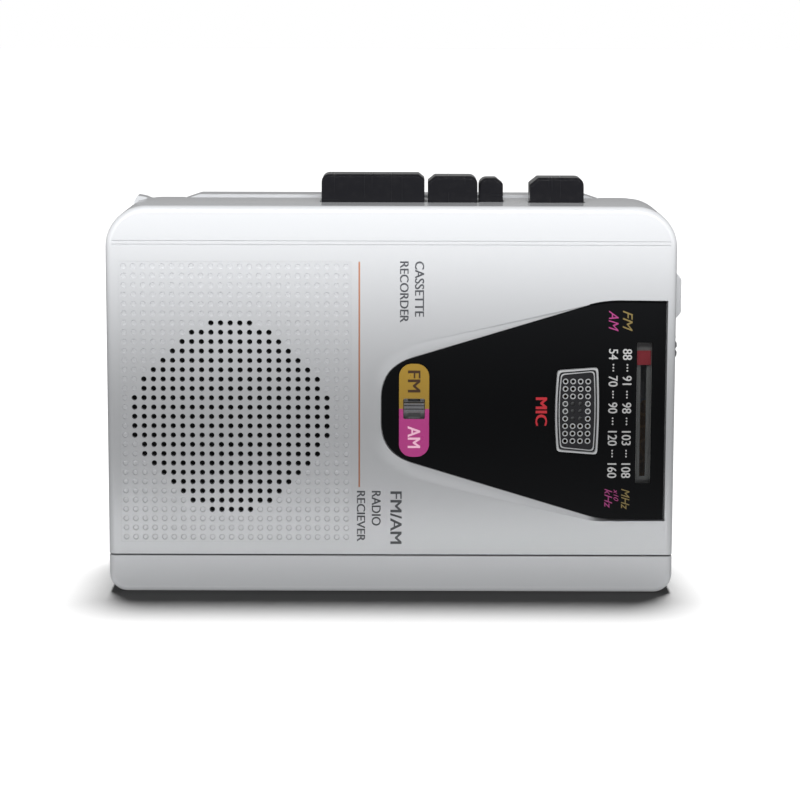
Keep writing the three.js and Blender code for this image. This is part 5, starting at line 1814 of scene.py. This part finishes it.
@dataclass
class Studio:
    """The camera, the lights and the floor.

    Attributes:
        aim: The point the camera looks at.
        elevation: How far it looks down, in degrees.
        distance: How far away it is.
        lens: Its focal length.
        sensor: Its sensor's width.
        roll: Its roll, in degrees.
        floor_size: Half the floor's side, in metres.
        floor_drop: How far the floor is below the recorder, in metres.
        floor_shade: The floor's base colour.
        sky_fade: The rises between which the front light grows.
        sky_glow: Its strength below and above them.
        sky_low: The rises between which the light from the floor dies out.
        sky_rebound: That light's strength.
        sky_high: The rises between which the light dims towards the top.
        sky_dimming: By how much.
        sky_behind: How far from the back the light is dimmer.
        behind_share: Its share there.
        suns: The distant lights.
        panels: The panel lights.
        floor_only: What the floor's own sun lights.
        all_but_floor: What the other lights light.
    """

    aim: tuple[float, float, float] = (1.87, -19.0, 40.8)
    elevation: float = 8.6
    distance: float = 550.0
    lens: float = 119.16
    sensor: float = 36.0
    roll: float = 0.15
    floor_size: float = 6.0
    floor_drop: float = 0.0001
    floor_shade: float = 0.1
    sky_fade: Span = (-0.14, 0.07)
    sky_glow: Span = (0.02, 0.46)
    sky_low: Span = (-0.26, -0.15)
    sky_rebound: float = 0.4
    sky_high: Span = (0.3, 0.75)
    sky_dimming: float = 0.3
    sky_behind: Span = (-0.1, 0.75)
    behind_share: float = 0.85
    suns: tuple[Sun, ...] = (
        Sun("floor_sun", (0.02, 0.25, 1.0), 17.0, 29.5, only_floor=True),
        Sun("front_above", (-0.25, -0.7, 1.0), 40.0, 0.06),
    )
    panels: tuple[Panel, ...] = (
        Panel("upper_panel", (0.0, -100.0, 118.0), -22.0, (240.0, 26.0), 56.0, 0.125),
        Panel("lower_panel", (0.0, -62.0, 6.0), 4.0, (200.0, 8.0), 80.0, 0.02),
    )
    floor_only: bpy.types.Collection = field(init=False)
    all_but_floor: bpy.types.Collection = field(init=False)

    def build(self) -> None:
        """Set up the whole studio."""
        self._camera()
        self._floor()
        self._sky()
        self._lights()

    def _camera(self) -> None:
        """Aim the camera at the speaker face."""
        data = bpy.data.cameras.new("camera")
        data.lens, data.sensor_width, data.clip_start = self.lens, self.sensor, 0.01
        camera = bpy.data.objects.new("camera", data)
        bpy.context.scene.collection.objects.link(camera)
        tilt = math.radians(self.elevation)
        away = Vector((0, -math.cos(tilt), math.sin(tilt))) * self.distance
        camera.location = (Vector(self.aim) + away) * MM
        camera.rotation_euler = (math.pi / 2 - tilt, 0, 0)
        camera.rotation_euler.rotate_axis("Z", math.radians(self.roll))
        bpy.context.scene.camera = camera

    def _floor(self) -> None:
        """Lay a flat pale floor, and sort out what each light may light."""
        bm = bmesh.new()
        bmesh.ops.create_grid(bm, x_segments=1, y_segments=1, size=self.floor_size)
        mesh = bpy.data.meshes.new("floor")
        bm.to_mesh(mesh)
        bm.free()
        floor = bpy.data.objects.new("floor", mesh)
        bpy.context.scene.collection.objects.link(floor)
        floor.location.z = -self.floor_drop
        floor.visible_glossy = False
        mesh.materials.append(self._paper())
        self.floor_only = bpy.data.collections.new("floor_only")
        self.all_but_floor = bpy.data.collections.new("all_but_floor")
        for group in (self.floor_only, self.all_but_floor):
            group.objects.link(floor)
        self.all_but_floor.collection_objects[0].light_linking.link_state = "EXCLUDE"

    def _paper(self) -> bpy.types.Material:
        """Return the floor's plain matt material."""
        paper = bpy.data.materials.new("floor_paper")
        paper.use_nodes = True
        shader = paper.node_tree.nodes["Principled BSDF"]
        shader.inputs["Base Color"].default_value = (*[self.floor_shade] * 3, 1)
        shader.inputs["Roughness"].default_value = 0.9
        return paper

    def _sky(self) -> None:
        """Make a white backdrop whose light comes from in front and fades out below the horizon."""
        world = bpy.data.worlds.new("sky")
        bpy.context.scene.world = world
        world.use_nodes = True
        tree = world.node_tree
        w = Wiring(tree)
        direction = w.node("SeparateXYZ", Vector=w.node("TexCoord").outputs["Generated"])
        away, rise = direction.outputs[1], direction.outputs[2]
        front = w.between(rise, *self.sky_fade, *self.sky_glow)
        below = w.between(rise, *self.sky_low, self.sky_rebound, 0.0)
        above = w.between(rise, *self.sky_high, 0.0, self.sky_dimming)
        behind = w.between(w.math("MULTIPLY", away, -1.0), *self.sky_behind, self.behind_share, 1.0)
        glow = w.math("MULTIPLY", w.math("SUBTRACT", w.math("ADD", front, below), above), behind)
        strength = w.node("Mix", {"data_type": "FLOAT"})
        for socket, value in ((0, w.node("LightPath").outputs["Is Camera Ray"]), (2, glow), (3, 1.0)):
            w.plug(strength, socket, value)
        background = tree.nodes["Background"]
        w.plug(background, "Color", (1, 1, 1, 1))
        w.plug(background, "Strength", strength.outputs[0])

    def _lights(self) -> None:
        """Shine suns from above, and long soft panels close to the top and the foot of the face."""
        for sun in self.suns:
            data = bpy.data.lights.new(sun.name, "SUN")
            data.angle, data.energy = math.radians(sun.spread), sun.strength
            turn = (-Vector(sun.place)).to_track_quat("-Z", "Y").to_euler()
            self._lamp(data, Vector(), turn, self.floor_only if sun.only_floor else self.all_but_floor)
        for panel in self.panels:
            data = bpy.data.lights.new(panel.name, "AREA")
            data.shape, data.energy, data.spread = "RECTANGLE", panel.power, math.radians(panel.spread)
            data.size, data.size_y = (side * MM for side in panel.size)
            turn = Euler((math.pi / 2 + math.radians(panel.tilt), 0, 0))
            lamp = self._lamp(data, Vector(panel.place) * MM, turn, self.all_but_floor)
            lamp.visible_camera = lamp.visible_glossy = False
        bpy.context.scene.view_settings.view_transform = "Standard"

    def _lamp(
        self, data: bpy.types.Light, place: Vector, turn: Euler, lit: bpy.types.Collection
    ) -> bpy.types.Object:
        """Hang a lamp that lights one collection, and return it.

        Args:
            data: The light.
            place: Where it hangs.
            turn: Its rotation.
            lit: What it lights.

        Returns:
            The lamp.
        """
        lamp = bpy.data.objects.new(data.name, data)
        bpy.context.scene.collection.objects.link(lamp)
        lamp.location, lamp.rotation_euler = place, turn
        lamp.light_linking.receiver_collection = lit
        return lamp


def main() -> None:
    """Build the recorder and its studio."""
    logging.basicConfig(level=logging.INFO, format="%(name)s: %(message)s")
    Studio().build()
    grille = GrillePanel()
    grille.build()
    FrontShell().build(grille)
    RearShell().build()
    Door().build()
    Keys().build()
    Face().build()
    Controls().build()
    KeySprings().build()
    Works().build()


if __name__ == "__main__":
    main()
